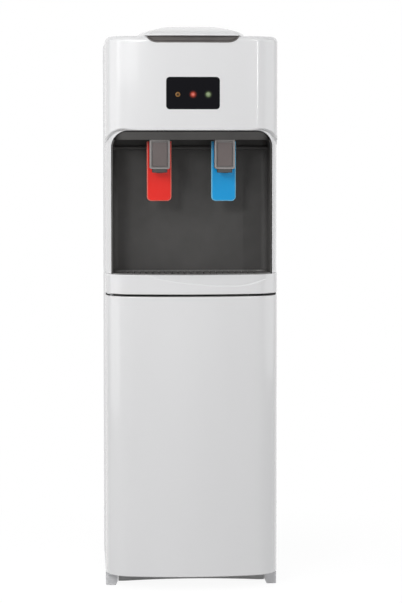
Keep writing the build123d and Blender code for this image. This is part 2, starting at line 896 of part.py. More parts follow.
def lid_outline(scale, inset):
    """Plan outline of the lid about its middle, shrunk by a scale and an inset."""
    front = (front_y + lid_setback - lid_centre_y) * scale + inset
    front_x = lid_front_half * scale - inset
    front_side = (front_y + lid_setback + lid_sweep - lid_centre_y) * scale + inset
    wide = lid_half * scale - inset
    rear_x = lid_rear_half * scale - inset
    rear = lid_reach * scale - inset
    back = (lid_reach + lid_bulge) * scale - inset
    edges = [
        ThreePointArc((-front_x, front_side), (0, front), (front_x, front_side)),
        ThreePointArc((front_x, front_side), (wide, lid_wide_y * scale), (rear_x, rear)),
        ThreePointArc((rear_x, rear), (0, back), (-rear_x, rear)),
        ThreePointArc((-rear_x, rear), (-wide, lid_wide_y * scale), (-front_x, front_side)),
    ]
    return Pos(0, lid_centre_y) * make_face(edges)


def lid_dome(inset, drop):
    """Stack of shrinking outlines lofted into a low dome."""
    low = body_height + face_gap
    steps = [(1.0, 0.0), (0.985, 0.22), (0.93, 0.42), (0.84, 0.58), (0.7, 0.78), (0.5, 1.0)]
    faces = [
        Pos(0, 0, low + share * lid_rise - (drop if share else 0)) * lid_outline(scale, inset)
        for scale, share in steps
    ]
    return loft(faces, ruled=True)


def lid():
    """Domed lid, hollow below, with a knuckle along its rear edge."""
    shell = lid_dome(0, 0) - lid_dome(lid_wall, lid_wall)
    z = lid_pivot_z()
    low = body_height + face_gap
    arm_near = lid_centre_y + lid_reach + lid_bulge - lid_arm_gap
    arm_low = z - knuckle_radius
    arm = block((-knuckle_half, knuckle_half), (arm_near, lid_pivot_y), (arm_low, arm_low + arm_thick))
    barrel = rod_x(-knuckle_half, knuckle_half, lid_pivot_y, z, knuckle_radius)
    shell = shell + arm + barrel
    shell = shell - rod_x(-half_width, half_width, lid_pivot_y, z, lid_pin_radius + running_gap)
    return shell - block((-half_width, half_width), (front_y, rear_y), (low - 10, low))


# ---------- indicator ----------
def led_x(index):
    return index * led_pitch


def indicator_lens():
    """Glossy black lens, bowed with the fascia, with three holes for the lamps."""
    lens = front_prism(lens_outline(0), front_y - 1, board_y)
    lens = lens & bow_skin(0.1, lens_thickness - 0.1, seam_y, lens_low - 5, lens_low + lens_tall + 5)
    for index in (-1, 0, 1):
        lens = lens - rod_y(led_x(index), front_y - 1, board_y, led_height, led_radius + 0.1)
    return lens


def indicator_led(index):
    """Lamp with a tapered tip that stands in the lens and ends on the board."""
    nose = front_y + led_sink
    body = rod_y(led_x(index), nose, board_y, led_height, led_radius)
    return chamfer(body.edges().sort_by(Axis.Y)[0], led_bevel)


def indicator_board():
    """Circuit board on the four posts behind the lens."""
    half = lens_wide / 2 + board_margin
    return block((-half, half), (board_y, board_y + board_thickness),
                 (lens_low - board_margin, lens_low + lens_tall + board_margin))


# ---------- taps ----------
def tap_outline(border):
    """Front-view outline of a tap: square top under the ceiling, round lower corners."""
    half = tap_wide / 2 - border
    low = tap_low + border
    face = make_face(Polyline((-half, low), (half, low), (half, ceiling_low - border),
                              (-half, ceiling_low - border), close=True))
    return fillet(face.vertices().sort_by(Axis.Y)[:2], max(tap_round - border * 0.6, 1.0))


def tap_body(x):
    """Tap housing with a sunk face and a spigot up through the ceiling."""
    back = tap_front_y + tap_deep
    body = front_prism(tap_outline(0), tap_front_y, back)
    front_edges = body.faces().sort_by(Axis.Y)[0].edges()
    body = chamfer([edge for edge in front_edges if edge.center().Z < ceiling_low - 1], tap_bevel)
    sunk = front_prism(tap_outline(face_border - face_groove), tap_front_y - 1,
                       tap_front_y + face_sink + face_thick)
    body = body - sunk
    body = body + rod_z(0, tap_spigot_y(), ceiling_low - 2, niche_high + spigot_rise, spigot_radius)
    return Pos(x, 0, 0) * body


def tap_face(x):
    """Flat plate in the tap's sunk face, with a groove left round it."""
    plate = front_prism(tap_outline(face_border), tap_front_y + face_sink,
                        tap_front_y + face_sink + face_thick)
    return Pos(x, 0, 0) * plate


def tap_nozzle(x):
    """Outlet block under the tap with a bored spout."""
    y = tap_spigot_y() - nozzle_forward
    half = nozzle_wide / 2
    low = tap_low - nozzle_block
    base = block((-half, half), (y - nozzle_half_deep, y + nozzle_half_deep), (low, tap_low))
    base = fillet(base.edges().filter_by(Axis.Z), nozzle_round)
    spout = base + rod_z(0, y, low - nozzle_drop, low, nozzle_radius)
    return Pos(x, 0, 0) * (spout - rod_z(0, y, low - nozzle_drop - 1, tap_low, nozzle_bore))


def paddle(x):
    """Push paddle: a rounded plate with two ears on the pin."""
    half = paddle_wide / 2
    outline = make_face(Polyline((-half, paddle_low), (half, paddle_low), (half, paddle_high),
                                 (-half, paddle_high), close=True))
    outline = fillet(outline.vertices().sort_by(Axis.Y)[:2], paddle_round)
    back = paddle_front_y + paddle_thick
    plate = front_prism(outline, paddle_front_y, back)
    rim = [edge for edge in plate.faces().sort_by(Axis.Y)[0].edges() if edge.center().Z < paddle_high - 1]
    plate = chamfer(rim, paddle_bevel)
    ear = make_face(Polyline(
        (back - 1, paddle_pivot_z - ear_fall), (paddle_pivot_y, paddle_pivot_z - ear_radius),
        (paddle_pivot_y, paddle_pivot_z + ear_radius), (back - 1, paddle_pivot_z + ear_radius),
        close=True,
    ))
    ear = ear + Pos(paddle_pivot_y, paddle_pivot_z) * Circle(ear_radius)
    ear = ear - Pos(paddle_pivot_y, paddle_pivot_z) * Circle(paddle_pin_radius + running_gap)
    plate = plate + side_prism(ear, -ear_inner - ear_thick, -ear_inner)
    plate = plate + side_prism(ear, ear_inner, ear_inner + ear_thick)
    return Pos(x, 0, 0) * plate


def paddle_pin(x):
    end = ear_inner + 2 * ear_thick + fit_gap
    return rod_x(x - end, x + end, paddle_pivot_y, paddle_pivot_z, paddle_pin_radius)


def paddle_spring(x):
    """Leaf spring from the ceiling to the back of the paddle, between its ears."""
    back = paddle_front_y + paddle_thick
    far = paddle_pivot_y + ear_radius + spring_back
    path = [(far - spring_foot, ceiling_low), (far, ceiling_low), (far, paddle_pivot_z - spring_fall),
            (back, paddle_pivot_z - spring_reach)]
    inner = [(far - spring_foot, ceiling_low - spring_sheet),
             (far - spring_sheet, ceiling_low - spring_sheet),
             (far - spring_sheet, paddle_pivot_z - spring_fall),
             (back, paddle_pivot_z - spring_reach + spring_toe)]
    outline = make_face(Polyline(*path, *reversed(inner), close=True))
    return side_prism(outline, x - spring_wide / 2, x + spring_wide / 2)


# ---------- tanks and cooling ----------
def reservoir():
    """Steel cold-water tank with an open neck up into the top cover's well."""
    tank = reservoir_form(0, body_height - well_fall + neck_rise)
    return tank - reservoir_form(tank_wall, body_height)


def reservoir_form(inset, neck_high):
    tank = rod_z(0, reservoir_y, reservoir_low + inset, reservoir_high - inset, reservoir_radius - inset)
    tank = chamfer(tank.edges().filter_by(GeomType.CIRCLE), tank_chamfer)
    return tank + rod_z(0, reservoir_y, reservoir_high - tank_chamfer, neck_high, neck_radius - inset)


def reservoir_insulation():
    """Foam jacket round the cold tank."""
    outer = rod_z(0, reservoir_y, reservoir_low - insulation_wall, reservoir_high - insulation_drop,
                  reservoir_radius + insulation_wall)
    tank = rod_z(0, reservoir_y, reservoir_low, reservoir_high, reservoir_radius)
    return outer - tank


def reservoir_cap():
    """Ribbed bayonet cap over the reservoir's neck."""
    low = body_height - well_fall + cap_gap
    cap = rod_z(0, reservoir_y, low, low + cap_tall, cap_radius)
    cap = chamfer(cap.edges().sort_by(Axis.Z)[-1], cap_bevel)
    step = 2 * math.pi / cap_ribs
    for index in range(cap_ribs):
        x = cap_radius * math.cos(index * step)
        y = reservoir_y + cap_radius * math.sin(index * step)
        cap = cap - rod_z(x, y, low - 1, low + cap_tall + 1, cap_notch)
    bore = rod_z(0, reservoir_y, low - 1, body_height - well_fall + neck_rise + cap_play,
                 neck_radius + running_gap)
    bar = block((cap_bar - cap_radius, cap_radius - cap_bar), (reservoir_y - skin, reservoir_y + skin),
                (low + cap_tall - 1, low + cap_tall + cap_bar_tall))
    return cap - bore + bar


def hot_tank():
    """Hollow steel hot tank with tapered ends on a stand ring."""
    tank = hot_tank_form(0) - hot_tank_form(tank_wall)
    low = shelf_low + shelf_sheet
    stand = rod_z(hot_tank_x, hot_tank_y, low, hot_tank_low + tank_wall / 2, stand_radius)
    stand = stand - rod_z(hot_tank_x, hot_tank_y, low - 1, hot_tank_low + 1, stand_radius - skin)
    outlet = rod_y(drain_x, hot_tank_y + hot_tank_radius / 2, panel_rear_y - outlet_gap, drain_z,
                   tube_radius)
    return tank + stand + (outlet - hot_tank_form(tank_wall / 2))


def hot_tank_form(inset):
    tank = rod_z(hot_tank_x, hot_tank_y, hot_tank_low + inset, hot_tank_high - inset,
                 hot_tank_radius - inset)
    return chamfer(tank.edges().filter_by(GeomType.CIRCLE), hot_tank_dome)


def compressor():
    """Domed compressor shell with its seam flange, on a square foot plate."""
    low = shelf_low + shelf_sheet + grommet_tall
    shell = rod_z(0, 0, skin - compressor_sink, compressor_tall, compressor_radius)
    shell = chamfer(shell.edges().filter_by(GeomType.CIRCLE).sort_by(Axis.Z)[-1], compressor_dome)
    shell = chamfer(shell.edges().filter_by(GeomType.CIRCLE).sort_by(Axis.Z)[0], compressor_foot)
    seam = rod_z(0, 0, compressor_seam, compressor_seam + 2 * compressor_lip,
                 compressor_radius + compressor_lip)
    plate = slab(RectangleRounded(2 * compressor_radius, 2 * compressor_radius, compressor_round), 0, skin)
    return Pos(compressor_x, compressor_y, low) * (shell + seam + plate)


def compressor_grommets():
    """Four rubber grommets between the compressor's plate and the shelf."""
    reach = compressor_radius - grommet_inset
    low = shelf_low + shelf_sheet
    feet = [
        rod_z(compressor_x + sx * reach, compressor_y + sy * reach, low, low + grommet_tall, grommet_radius)
        for sx in (-1, 1) for sy in (-1, 1)
    ]
    return Compound(children=feet)


def feed_tubes():
    """Soft tubes from the tanks to the two taps."""
    top = niche_high + spigot_rise
    y = tap_spigot_y()
    turn_z = top + tube_rise
    side = reservoir_radius + insulation_wall + 3 * tube_radius
    hot = bent_tube(
        [(-tap_x, y, top), (-tap_x, y, turn_z), (-side, y + tube_lead, turn_z),
         (-side, compressor_y, turn_z), (-side, compressor_y, hot_tank_high + tube_end_gap)],
        tube_radius, tube_bend)
    cold_end = reservoir_y - reservoir_radius - insulation_wall + tube_sink
    cold = bent_tube(
        [(tap_x, y, top), (tap_x, y, turn_z + tube_step), (tap_x / 2, cold_end, turn_z + tube_step)],
        tube_radius, tube_bend)
    jacket = rod_z(0, reservoir_y, reservoir_low - insulation_wall, reservoir_high,
                   reservoir_radius + insulation_wall)
    return Compound(children=[hot, cold - jacket])


def water_pump():
    """Pump under the shelf that lifts water from the bottle."""
    pump = rod_z(pump_x, pump_y, shelf_low - pump_tall, shelf_low, pump_radius)
    pump = chamfer(pump.edges().sort_by(Axis.Z)[0], pump_bevel)
    inlet = rod_x(pump_x - pump_radius - inlet_reach, pump_x, pump_y + inlet_back,
                  shelf_low - pump_tall + inlet_rise, tube_radius)
    return pump + inlet


def bottle_probe():
    """Suction tube with the cap that fits the bottle's neck, parked upright."""
    tube = rod_z(probe_x, probe_y, probe_low, probe_high, probe_radius)
    cap = rod_z(probe_x, probe_y, probe_high, probe_high + probe_cap_tall, probe_cap_radius)
    cap = chamfer(cap.edges().sort_by(Axis.Z)[-1], probe_cap_bevel)
    cap_high = probe_high + probe_cap_tall
    nipple = rod_z(probe_x, probe_y, cap_high - 1, cap_high + nipple_tall, tube_radius)
    return tube + cap + nipple


def pump_hose():
    """Hose from the probe's nipple to the pump's inlet."""
    z = shelf_low - pump_tall + inlet_rise
    start = probe_high + probe_cap_tall + nipple_tall
    end = (pump_x - pump_radius - inlet_reach, pump_y + inlet_back, z)
    return bent_tube([(probe_x, probe_y, start), (probe_x, probe_y, z), end], tube_radius, hose_bend)


def probe_clip():
    """Clip on the back wall that holds the parked probe."""
    z = probe_high - probe_clip_drop
    half = probe_clip_half
    low = z - probe_clip_tall
    high = z + probe_clip_tall
    plate = block((probe_x - clip_plate_half, probe_x + clip_plate_half),
                  (panel_rear_y - clip_plate_thick, panel_rear_y),
                  (z - clip_plate_tall, z + clip_plate_tall))
    arm = block((probe_x - half, probe_x + half), (probe_y, panel_rear_y - 1), (low, high))
    clip = plate + arm + rod_z(probe_x, probe_y, low, high, half)
    clip = clip - rod_z(probe_x, probe_y, low - 1, high + 1, probe_radius)
    mouth = block((probe_x - probe_clip_mouth, probe_x + probe_clip_mouth), (probe_y - half - 1, probe_y),
                  (low - 1, high + 1))
    return clip - mouth


# ---------- back ----------
def condenser():
    """Serpentine tube between two rows of upright wires."""
    y = rear_y - 2 * coil_wire - coil_tube
    bend = coil_pitch / 2
    left = coil_left_x + bend
    right = coil_right_x - bend
    runs = []
    for index in range(coil_passes):
        z = coil_low + index * coil_pitch
        near, far = (left, right) if index % 2 == 0 else (right, left)
        out = bend if far > near else -bend
        runs.append(Line((near, y, z), (far, y, z)))
        if index < coil_passes - 1:
            runs.append(ThreePointArc((far, y, z), (far + out, y, z + bend), (far, y, z + coil_pitch)))
    section = RegularPolygon(coil_tube, tube_sides, rotation=180 / tube_sides)
    coil = sweep(Plane(origin=(left, y, coil_low), z_dir=(1, 0, 0)) * section, path=Wire(runs))
    top = coil_low + (coil_passes - 1) * coil_pitch + wire_end
    wires = []
    for index in range(coil_wires):
        x = left + wire_end / 2 + index * (right - left - wire_end) / (coil_wires - 1)
        for side in (-1, 1):
            wire_y = y + side * (coil_tube + coil_wire)
            wires.append(block((x - coil_wire, x + coil_wire), (wire_y - coil_wire, wire_y + coil_wire),
                               (coil_low - wire_end, top)))
    return Compound(children=[coil] + wires)


def condenser_brackets():
    """Four clips that hold the condenser off the back sheet."""
    y = rear_y - 2 * coil_wire - 2 * coil_tube
    top = coil_low + (coil_passes - 2) * coil_pitch
    bend = coil_pitch / 2
    clips = []
    step = (coil_right_x - coil_left_x - coil_pitch - wire_end) / (coil_wires - 1) / 2
    for x in (coil_left_x + bend + wire_end / 2 + step, coil_right_x - bend - wire_end / 2 - step):
        for z in (coil_low + coil_pitch, top):
            clip = block((x - clip_half, x + clip_half), (rear_face_y, y), (z - wire_end, z + wire_end))
            clips.append(clip)
    return Compound(children=clips)


def switch_bezel():
    """Frame on the back sheet round the two rocker switches."""
    wide = switch_pitch + 2 * (rocker_wide + bezel_margin)
    tall = rocker_tall + 2 * bezel_margin_tall
    plate = block((switch_x - wide / 2, switch_x + wide / 2), (rear_face_y, rear_face_y + bezel_thick),
                  (switch_z - tall / 2, switch_z + tall / 2))
    plate = fillet(plate.edges().filter_by(Axis.Y), bezel_round)
    for side in (-1, 1):
        x = switch_x + side * switch_pitch / 2
        plate = plate - block(
            (x - rocker_wide / 2 - fit_gap, x + rocker_wide / 2 + fit_gap),
            (rear_face_y + bezel_floor, rear_face_y + bezel_thick + 1),
            (switch_z - rocker_tall / 2 - rocker_room, switch_z + rocker_tall / 2 + rocker_room),
        )
    return plate


def rocker(side):
    """Rocker key with two sloped faces, drawn in its off position."""
    x = switch_x + side * switch_pitch / 2
    half = rocker_tall / 2
    rise = half * math.tan(math.radians(rocker_tilt))
    near = rocker_near
    far = near + rocker_thick
    outline = make_face(Polyline((near, 0), (near + rise, half), (far + rise, half),
                                 (far, 0), (far + rise, -half), (near + rise, -half),
                                 close=True))
    outline = outline + Pos(near, 0) * Circle(rocker_pivot)
    key = side_prism(outline, -rocker_wide / 2, rocker_wide / 2)
    key = Rot(rocker_tilt, 0, 0) * (Pos(0, -near, 0) * key)
    return Pos(x, rear_face_y + near, switch_z) * key


def drain_outlet():
    """Flanged drain spigot of the hot tank."""
    flange = rod_y(drain_x, rear_face_y, rear_face_y + drain_flange, drain_z, drain_radius)
    spigot = rod_y(drain_x, panel_rear_y - drain_sink, rear_face_y + drain_reach, drain_z,
                   drain_radius - drain_step)
    return flange + spigot


def drain_cap():
    """Screw cap with flats over the drain spigot."""
    low = rear_face_y + drain_flange + fit_gap
    high = rear_face_y + drain_reach + drain_cap_top
    cap = rod_y(drain_x, low, high, drain_z, drain_radius)
    bore = rod_y(drain_x, low - 1, rear_face_y + drain_reach + drain_cap_play, drain_z,
                 drain_radius - drain_step + running_gap)
    cap = cap - bore
    step = 2 * math.pi / drain_flats
    for index in range(drain_flats):
        x = drain_x + (drain_radius + flat_offset) * math.cos(index * step)
        z = drain_z + (drain_radius + flat_offset) * math.sin(index * step)
        cap = cap - rod_y(x, low - 1, high + 1, z, flat_radius)
    return cap


def cord_gland():
    """Inlet gland in the back sheet, left empty."""
    high = rear_face_y + gland_tall
    ring = rod_y(drain_x, rear_face_y, high, gland_z, gland_radius)
    ring = chamfer(ring.edges().sort_by(Axis.Y)[-1], gland_bevel)
    sleeve = rod_y(drain_x, panel_rear_y - gland_sink, rear_face_y + 1, gland_z, gland_radius - gland_wall)
    return ring + sleeve - rod_y(drain_x, panel_rear_y - gland_sink - 1, high + 1, gland_z, gland_bore)


# ---------- door ----------
def door_shell():
    """Bowed outer skin of the door, its hinge side rounded about the pins."""
    shell = hinge_stile(slab(bow_outline(0, seam_y), door_low, door_high), 0, seam_y)
    low = door_low + skin
    high = door_high - skin
    cavity = hinge_stile(slab(bow_outline(skin, seam_y - skin), low, high), skin, seam_y - skin)
    mouth = block((hinge_x, half_width - skin), (seam_y - skin - 1, seam_y + 1), (low, high))
    shell = shell - cavity - mouth
    boss = hinge_offset - skin + boss_lap
    for bottom, top in ((door_low, door_low + boss_length), (door_high - boss_length, door_high)):
        shell = shell + rod_z(hinge_x, hinge_y, bottom, top, boss)
    bore = pin_radius + running_gap
    depth = pin_depth + 1
    shell = shell - rod_z(hinge_x, hinge_y, door_low - 1, door_low + depth, bore)
    return shell - rod_z(hinge_x, hinge_y, door_high - depth, door_high + 1, bore)


def door_liner():
    """Inner wall of the door, hollowed to follow the bow so that a bottle has room."""
    low = door_low + skin
    high = door_high - skin
    outer = slab(bow_outline(skin + face_gap, seam_y - skin), low, high)
    edge = skin + liner_thickness
    hollow = slab(bow_outline(edge, seam_y + 1), low + liner_thickness, high - liner_thickness)
    liner = outer - hollow
    corner = block((-half_width, hinge_x + 1), (hinge_y - 1, seam_y + 1), (low - 1, high + 1))
    boss = hinge_offset - skin + boss_lap + face_gap
    return liner - corner - rod_z(hinge_x, hinge_y, low - 1, high + 1, boss)


def catch_plate():
    """Steel plate on the door that meets the magnet."""
    return block((catch_x - catch_size / 2, catch_x + catch_size / 2),
                 (seam_y - skin, seam_y), (shelf_low - catch_drop, door_high - skin))


nodes = {
    "base_tray": base_tray(),
    "front_feet": front_feet(),
    "rear_feet": rear_feet(),
    "left_side_panel": left_side_panel(),
    "right_side_panel": right_side_panel(),
    "rear_panel": rear_panel(),
    "divider_shelf": divider_shelf(),
    "lower_hinge_bracket": lower_hinge_bracket(),
    "upper_hinge_bracket": upper_hinge_bracket(),
    "catch_magnet": catch_magnet(),
    "front_fascia": front_fascia(),
    "grip_inset": grip_inset(),
    "tray_apron": tray_apron(),
    "niche_liner": niche_liner(),
    "tray_well": tray_well(),
    "top_cover": top_cover(),
    "lid_hinge_pin": lid_hinge_pin(),
    "indicator_lens": indicator_lens(),
    "amber_led": indicator_led(-1),
    "red_led": indicator_led(0),
    "green_led": indicator_led(1),
    "indicator_board": indicator_board(),
    "hot_tap_body": tap_body(-tap_x),
    "cold_tap_body": tap_body(tap_x),
    "hot_tap_face": tap_face(-tap_x),
    "cold_tap_face": tap_face(tap_x),
    "hot_tap_nozzle": tap_nozzle(-tap_x),
    "cold_tap_nozzle": tap_nozzle(tap_x),
    "hot_paddle_pin": paddle_pin(-tap_x),
    "cold_paddle_pin": paddle_pin(tap_x),
    "hot_paddle_spring": paddle_spring(-tap_x),
    "cold_paddle_spring": paddle_spring(tap_x),
    "reservoir": reservoir(),
    "reservoir_insulation": reservoir_insulation(),
    "hot_tank": hot_tank(),
    "compressor": compressor(),
    "compressor_grommets": compressor_grommets(),
    "feed_tubes": feed_tubes(),
    "water_pump": water_pump(),
    "pump_hose": pump_hose(),
    "bottle_probe": bottle_probe(),
    "probe_clip": probe_clip(),
    "condenser": condenser(),
    "condenser_brackets": condenser_brackets(),
    "switch_bezel": switch_bezel(),
    "drain_outlet": drain_outlet(),
    "cord_gland": cord_gland(),
    "door_shell": door_shell(),
    "door_liner": door_liner(),
    "catch_plate": catch_plate(),
    "hot_paddle": paddle(-tap_x),
    "cold_paddle": paddle(tap_x),
    "drip_tray": drip_tray(),
    "drip_grille": drip_grille(),
    "lid": lid(),
    "reservoir_cap": reservoir_cap(),
    "hot_switch": rocker(-1),
    "cold_switch": rocker(1),
    "drain_cap": drain_cap(),
}

os.makedirs("parts", exist_ok=True)
for name, shape in nodes.items():
    export_step(shape, f"parts/{name}.step")
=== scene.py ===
"""Builds the looks of a floor-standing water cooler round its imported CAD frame."""

import json
import math

import bmesh
import bpy
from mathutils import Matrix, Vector


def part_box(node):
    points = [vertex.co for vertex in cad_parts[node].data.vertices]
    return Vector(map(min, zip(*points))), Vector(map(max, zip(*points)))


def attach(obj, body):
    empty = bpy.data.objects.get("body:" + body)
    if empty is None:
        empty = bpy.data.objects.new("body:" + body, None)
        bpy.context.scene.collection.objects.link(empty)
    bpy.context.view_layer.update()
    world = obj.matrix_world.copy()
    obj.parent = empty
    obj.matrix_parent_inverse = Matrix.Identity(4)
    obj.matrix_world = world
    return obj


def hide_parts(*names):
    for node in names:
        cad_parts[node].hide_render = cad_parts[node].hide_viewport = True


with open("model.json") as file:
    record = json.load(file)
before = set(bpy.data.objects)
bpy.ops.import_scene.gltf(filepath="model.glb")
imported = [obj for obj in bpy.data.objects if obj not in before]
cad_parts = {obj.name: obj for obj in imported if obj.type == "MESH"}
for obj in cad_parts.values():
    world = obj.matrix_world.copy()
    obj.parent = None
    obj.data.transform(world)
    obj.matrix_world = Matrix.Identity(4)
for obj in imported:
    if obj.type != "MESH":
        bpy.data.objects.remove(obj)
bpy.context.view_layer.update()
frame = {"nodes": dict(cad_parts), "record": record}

bl_info = {
    "name": "Water Cooler Looks",
    "version": (1, 0, 0),
    "blender": (4, 5, 0),
    "location": "3D View > Sidebar > Cooler",
    "description": "Dresses the packed water cooler in moulded covers, taps, lamps and finishes",
    "category": "Object",
}

NODES = frame["nodes"]

# How far a cutting tool passes the face it cuts, and how far where nothing else is near.
OVER = 0.001
CLEAR = 0.01


# ---------- places read from the frame ----------
def low(node):
    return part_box(node)[0]


def high(node):
    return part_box(node)[1]


def middle(node):
    return (low(node) + high(node)) / 2


HALF = high("tray_apron").x
FRONT = low("tray_apron").y
SEAM = high("tray_apron").y
APRON_TOP = high("tray_apron").z
BODY_TOP = high("front_fascia").z
NICHE_HALF = high("niche_liner").x
NICHE_TOP = high("niche_liner").z
NICHE_BACK = high("niche_liner").y
TAP_BORDER = 0.0052  # between a tap's outline and its sunk face
CEILING = high("hot_tap_face").z + TAP_BORDER
TAP_X = middle("cold_tap_body").x


# ---------- settings ----------
def length_setting(name, description, value, least=0.0):
    return bpy.props.FloatProperty(
        name=name, description=description, default=value, min=least, unit="LENGTH", subtype="DISTANCE")


def angle_setting(name, description, degrees):
    return bpy.props.FloatProperty(
        name=name, description=description, default=math.radians(degrees), unit="ROTATION", subtype="ANGLE")


def power_setting(name, lamp, value):
    return bpy.props.FloatProperty(name=name, description=f"Power of the {lamp} in watts", default=value, min=0.0)


def colour_setting(name, description, value):
    return bpy.props.FloatVectorProperty(
        name=name, description=description, default=value, size=3, min=0.0, max=1.0, subtype="COLOR")


class CoolerSizes(bpy.types.PropertyGroup):
    """Sizes of the mouldings that a user may change."""

    bow_radius: length_setting("Bow Radius", "Plan radius of the bowed front", 0.56, 0.2)
    corner_radius: length_setting("Corner Radius", "Plan radius between the front and the sides", 0.052, 0.01)
    wall: length_setting("Wall", "Wall of the moulded covers", 0.003, 0.001)
    top_round: length_setting("Top Round", "Rounding of the body's top edges", 0.01, 0.001)
    edge_round: length_setting("Edge Round", "Rounding of the door's and the apron's edges", 0.0016, 0.0002)
    crease_depth: length_setting("Crease Depth", "Depth of the step along the apron's crease", 0.0019, 0.0002)
    rim_step: length_setting("Rim Step", "How far the niche's rim lies behind the front", 0.003, 0.0005)
    rim_corner: length_setting("Rim Corner", "Radius of the upper corners of the niche's rim", 0.038, 0.005)
    rim_round: length_setting("Rim Round", "Plan radius where the niche's rim turns into the sides", 0.07, 0.01)
    niche_round: length_setting("Niche Round", "Radius of the niche's upper corners", 0.028, 0.005)
    visor_slope: length_setting("Visor Slope", "How far the visor falls back below the niche's edge", 0.0085)
    slot_width: length_setting("Slot Width", "Width of the slots in the drip grille", 0.005, 0.001)
    slot_pitch: length_setting("Slot Pitch", "Distance from one grille slot to the next", 0.0115, 0.002)


class CoolerColours(bpy.types.PropertyGroup):
    """Colours of the finishes."""

    cover: colour_setting("Covers", "Glossy white mouldings", (0.78, 0.78, 0.785))
    sheet: colour_setting("Side Sheets", "Coated steel sheets", (0.76, 0.76, 0.765))
    niche: colour_setting("Niche", "Dark satin mouldings", (0.074, 0.072, 0.07))
    grip: colour_setting("Grip", "Finger recess", (0.12, 0.11, 0.106))
    base: colour_setting("Base", "Strip under the door", (0.3, 0.3, 0.3))
    foot: colour_setting("Feet", "Front feet", (0.62, 0.62, 0.63))
    lens: colour_setting("Lens", "Lamp window", (0.006, 0.006, 0.008))
    # Housing and face are one plastic: the housing's lighter colour is partly a painted highlight on its rim, and the
    # face's darker colour partly painted shade under the visor.
    tap: colour_setting("Taps", "Tap housings", (0.24, 0.225, 0.22))
    tap_face: colour_setting("Tap Faces", "Sunk faces of the taps", (0.105, 0.086, 0.083))
    hot: colour_setting("Hot", "Hot water paddle and switch", (0.9, 0.02, 0.012))
    # Painted highlight: paler colour for the hot paddle's rounded edges.
    hot_edge_highlight: colour_setting("Hot Edge Highlight", "Rounded edges of the hot water paddle", (0.95, 0.22, 0.17))
    cold: colour_setting("Cold", "Cold water paddle and switch", (0.0, 0.34, 0.74))
    # Painted highlight: paler colour for the cold paddle's rounded edges.
    cold_edge_highlight: colour_setting("Cold Edge Highlight", "Rounded edges of the cold water paddle", (0.24, 0.66, 0.93))
    amber: colour_setting("Amber Lamp", "Heating lamp", (0.3, 0.15, 0.045))
    red: colour_setting("Red Lamp", "Empty bottle lamp", (0.6, 0.085, 0.05))
    green: colour_setting("Green Lamp", "Cooling lamp", (0.3, 0.4, 0.2))


class CoolerStage(bpy.types.PropertyGroup):
    """Camera and lamps."""

    eye_height: length_setting("Eye Height", "Height of the camera", 0.841, 0.1)
    distance: length_setting("Distance", "Distance from the camera to the front", 4.0, 0.5)
    azimuth: angle_setting("Azimuth", "Turn of the camera towards the left side", 3.0)
    pitch: angle_setting("Pitch", "How far the camera looks down", 3.35)
    yaw: angle_setting("Yaw", "How far the camera looks past the middle", 0.2)
    lens: bpy.props.FloatProperty(
        name="Focal Length", description="Focal length in millimetres", default=134.7, min=20.0)
    shift: bpy.props.FloatProperty(
        name="Shift", description="Vertical shift of the camera, as a share of its frame", default=-0.08)
    key_power: power_setting("Key Lamp", "small lamp at the left", 16.0)
    left_power: power_setting("Left Lamp", "wide box at the left", 23.0)
    right_power: power_setting("Right Lamp", "low box at the right", 6.0)
    front_power: power_setting("Front Lamp", "low box under the camera", 19.0)
    side_power: power_setting("Side Lamps", "large box on each side", 12.0)
    top_power: power_setting("Top Lamp", "box over the cooler", 9.0)
    strip_power: power_setting("Strip Lamp", "narrow lamp at the right", 5.5)


def sizes():
    return bpy.context.scene.cooler_sizes


def colours():
    return bpy.context.scene.cooler_colours


# ---------- outlines ----------
def sweep(angle, steps):
    """Angles from nought to the given one in equal steps."""
    return [angle * step / steps for step in range(steps + 1)]


def front_arcs(corner=0.0):
    """Radius and centre of the plan's right-hand corner arc, and the angle at which the bow meets it."""
    s = sizes()
    corner = corner or s.corner_radius
    x = HALF - corner
    y = FRONT + s.bow_radius - math.sqrt((s.bow_radius - corner) ** 2 - x ** 2)
    return corner, x, y, math.asin(x / (s.bow_radius - corner))


def front_depth(x, inset=0.0, corner=0.0):
    """How far back the front surface lies at a given width."""
    bow = sizes().bow_radius
    corner, centre_x, centre_y, tilt = front_arcs(corner)
    if abs(x) <= (bow - inset) * math.sin(tilt):
        return FRONT + bow - math.sqrt((bow - inset) ** 2 - x ** 2)
    reach = min(abs(x) - centre_x, corner - inset)
    return centre_y - math.sqrt(max((corner - inset) ** 2 - reach ** 2, 0.0))


def rim_depth(x):
    """How far back the surface of the niche's rim lies at a given width."""
    s = sizes()
    return front_depth(x, 0.0, s.rim_round) + s.rim_step


def rim_plan(inset, back):
    """Plan points of the niche's rim, some way behind the front."""
    s = sizes()
    return [(x, y + s.rim_step) for x, y in bow_plan(inset, back - s.rim_step, corner=s.rim_round)]


def bow_plan(inset, back, hinge=0.0, corner=0.0):
    """Plan points of the body, from the right rear round the bowed front to the left rear.

    A hinge radius rounds the left rear corner; another corner radius may be asked for."""
    corner_steps, bow_steps, hinge_steps = 12, 36, 6
    bow = sizes().bow_radius
    corner, centre_x, centre_y, tilt = front_arcs(corner)
    right = [(centre_x + (corner - inset) * math.cos(angle), centre_y - (corner - inset) * math.sin(angle))
             for angle in sweep(math.pi / 2 - tilt, corner_steps)]
    front = [((bow - inset) * math.sin(tilt - angle), FRONT + bow - (bow - inset) * math.cos(tilt - angle))
             for angle in sweep(2 * tilt, bow_steps)[1:-1]]
    rear = [(inset - HALF, back)]
    if hinge:
        radius = hinge - inset
        rear = [(inset - HALF + radius * (1 - math.cos(angle)), back - radius * (1 - math.sin(angle)))
                for angle in sweep(math.pi / 2, hinge_steps)]
    return [(HALF - inset, back)] + right + front + [(-x, y) for x, y in reversed(right)] + rear


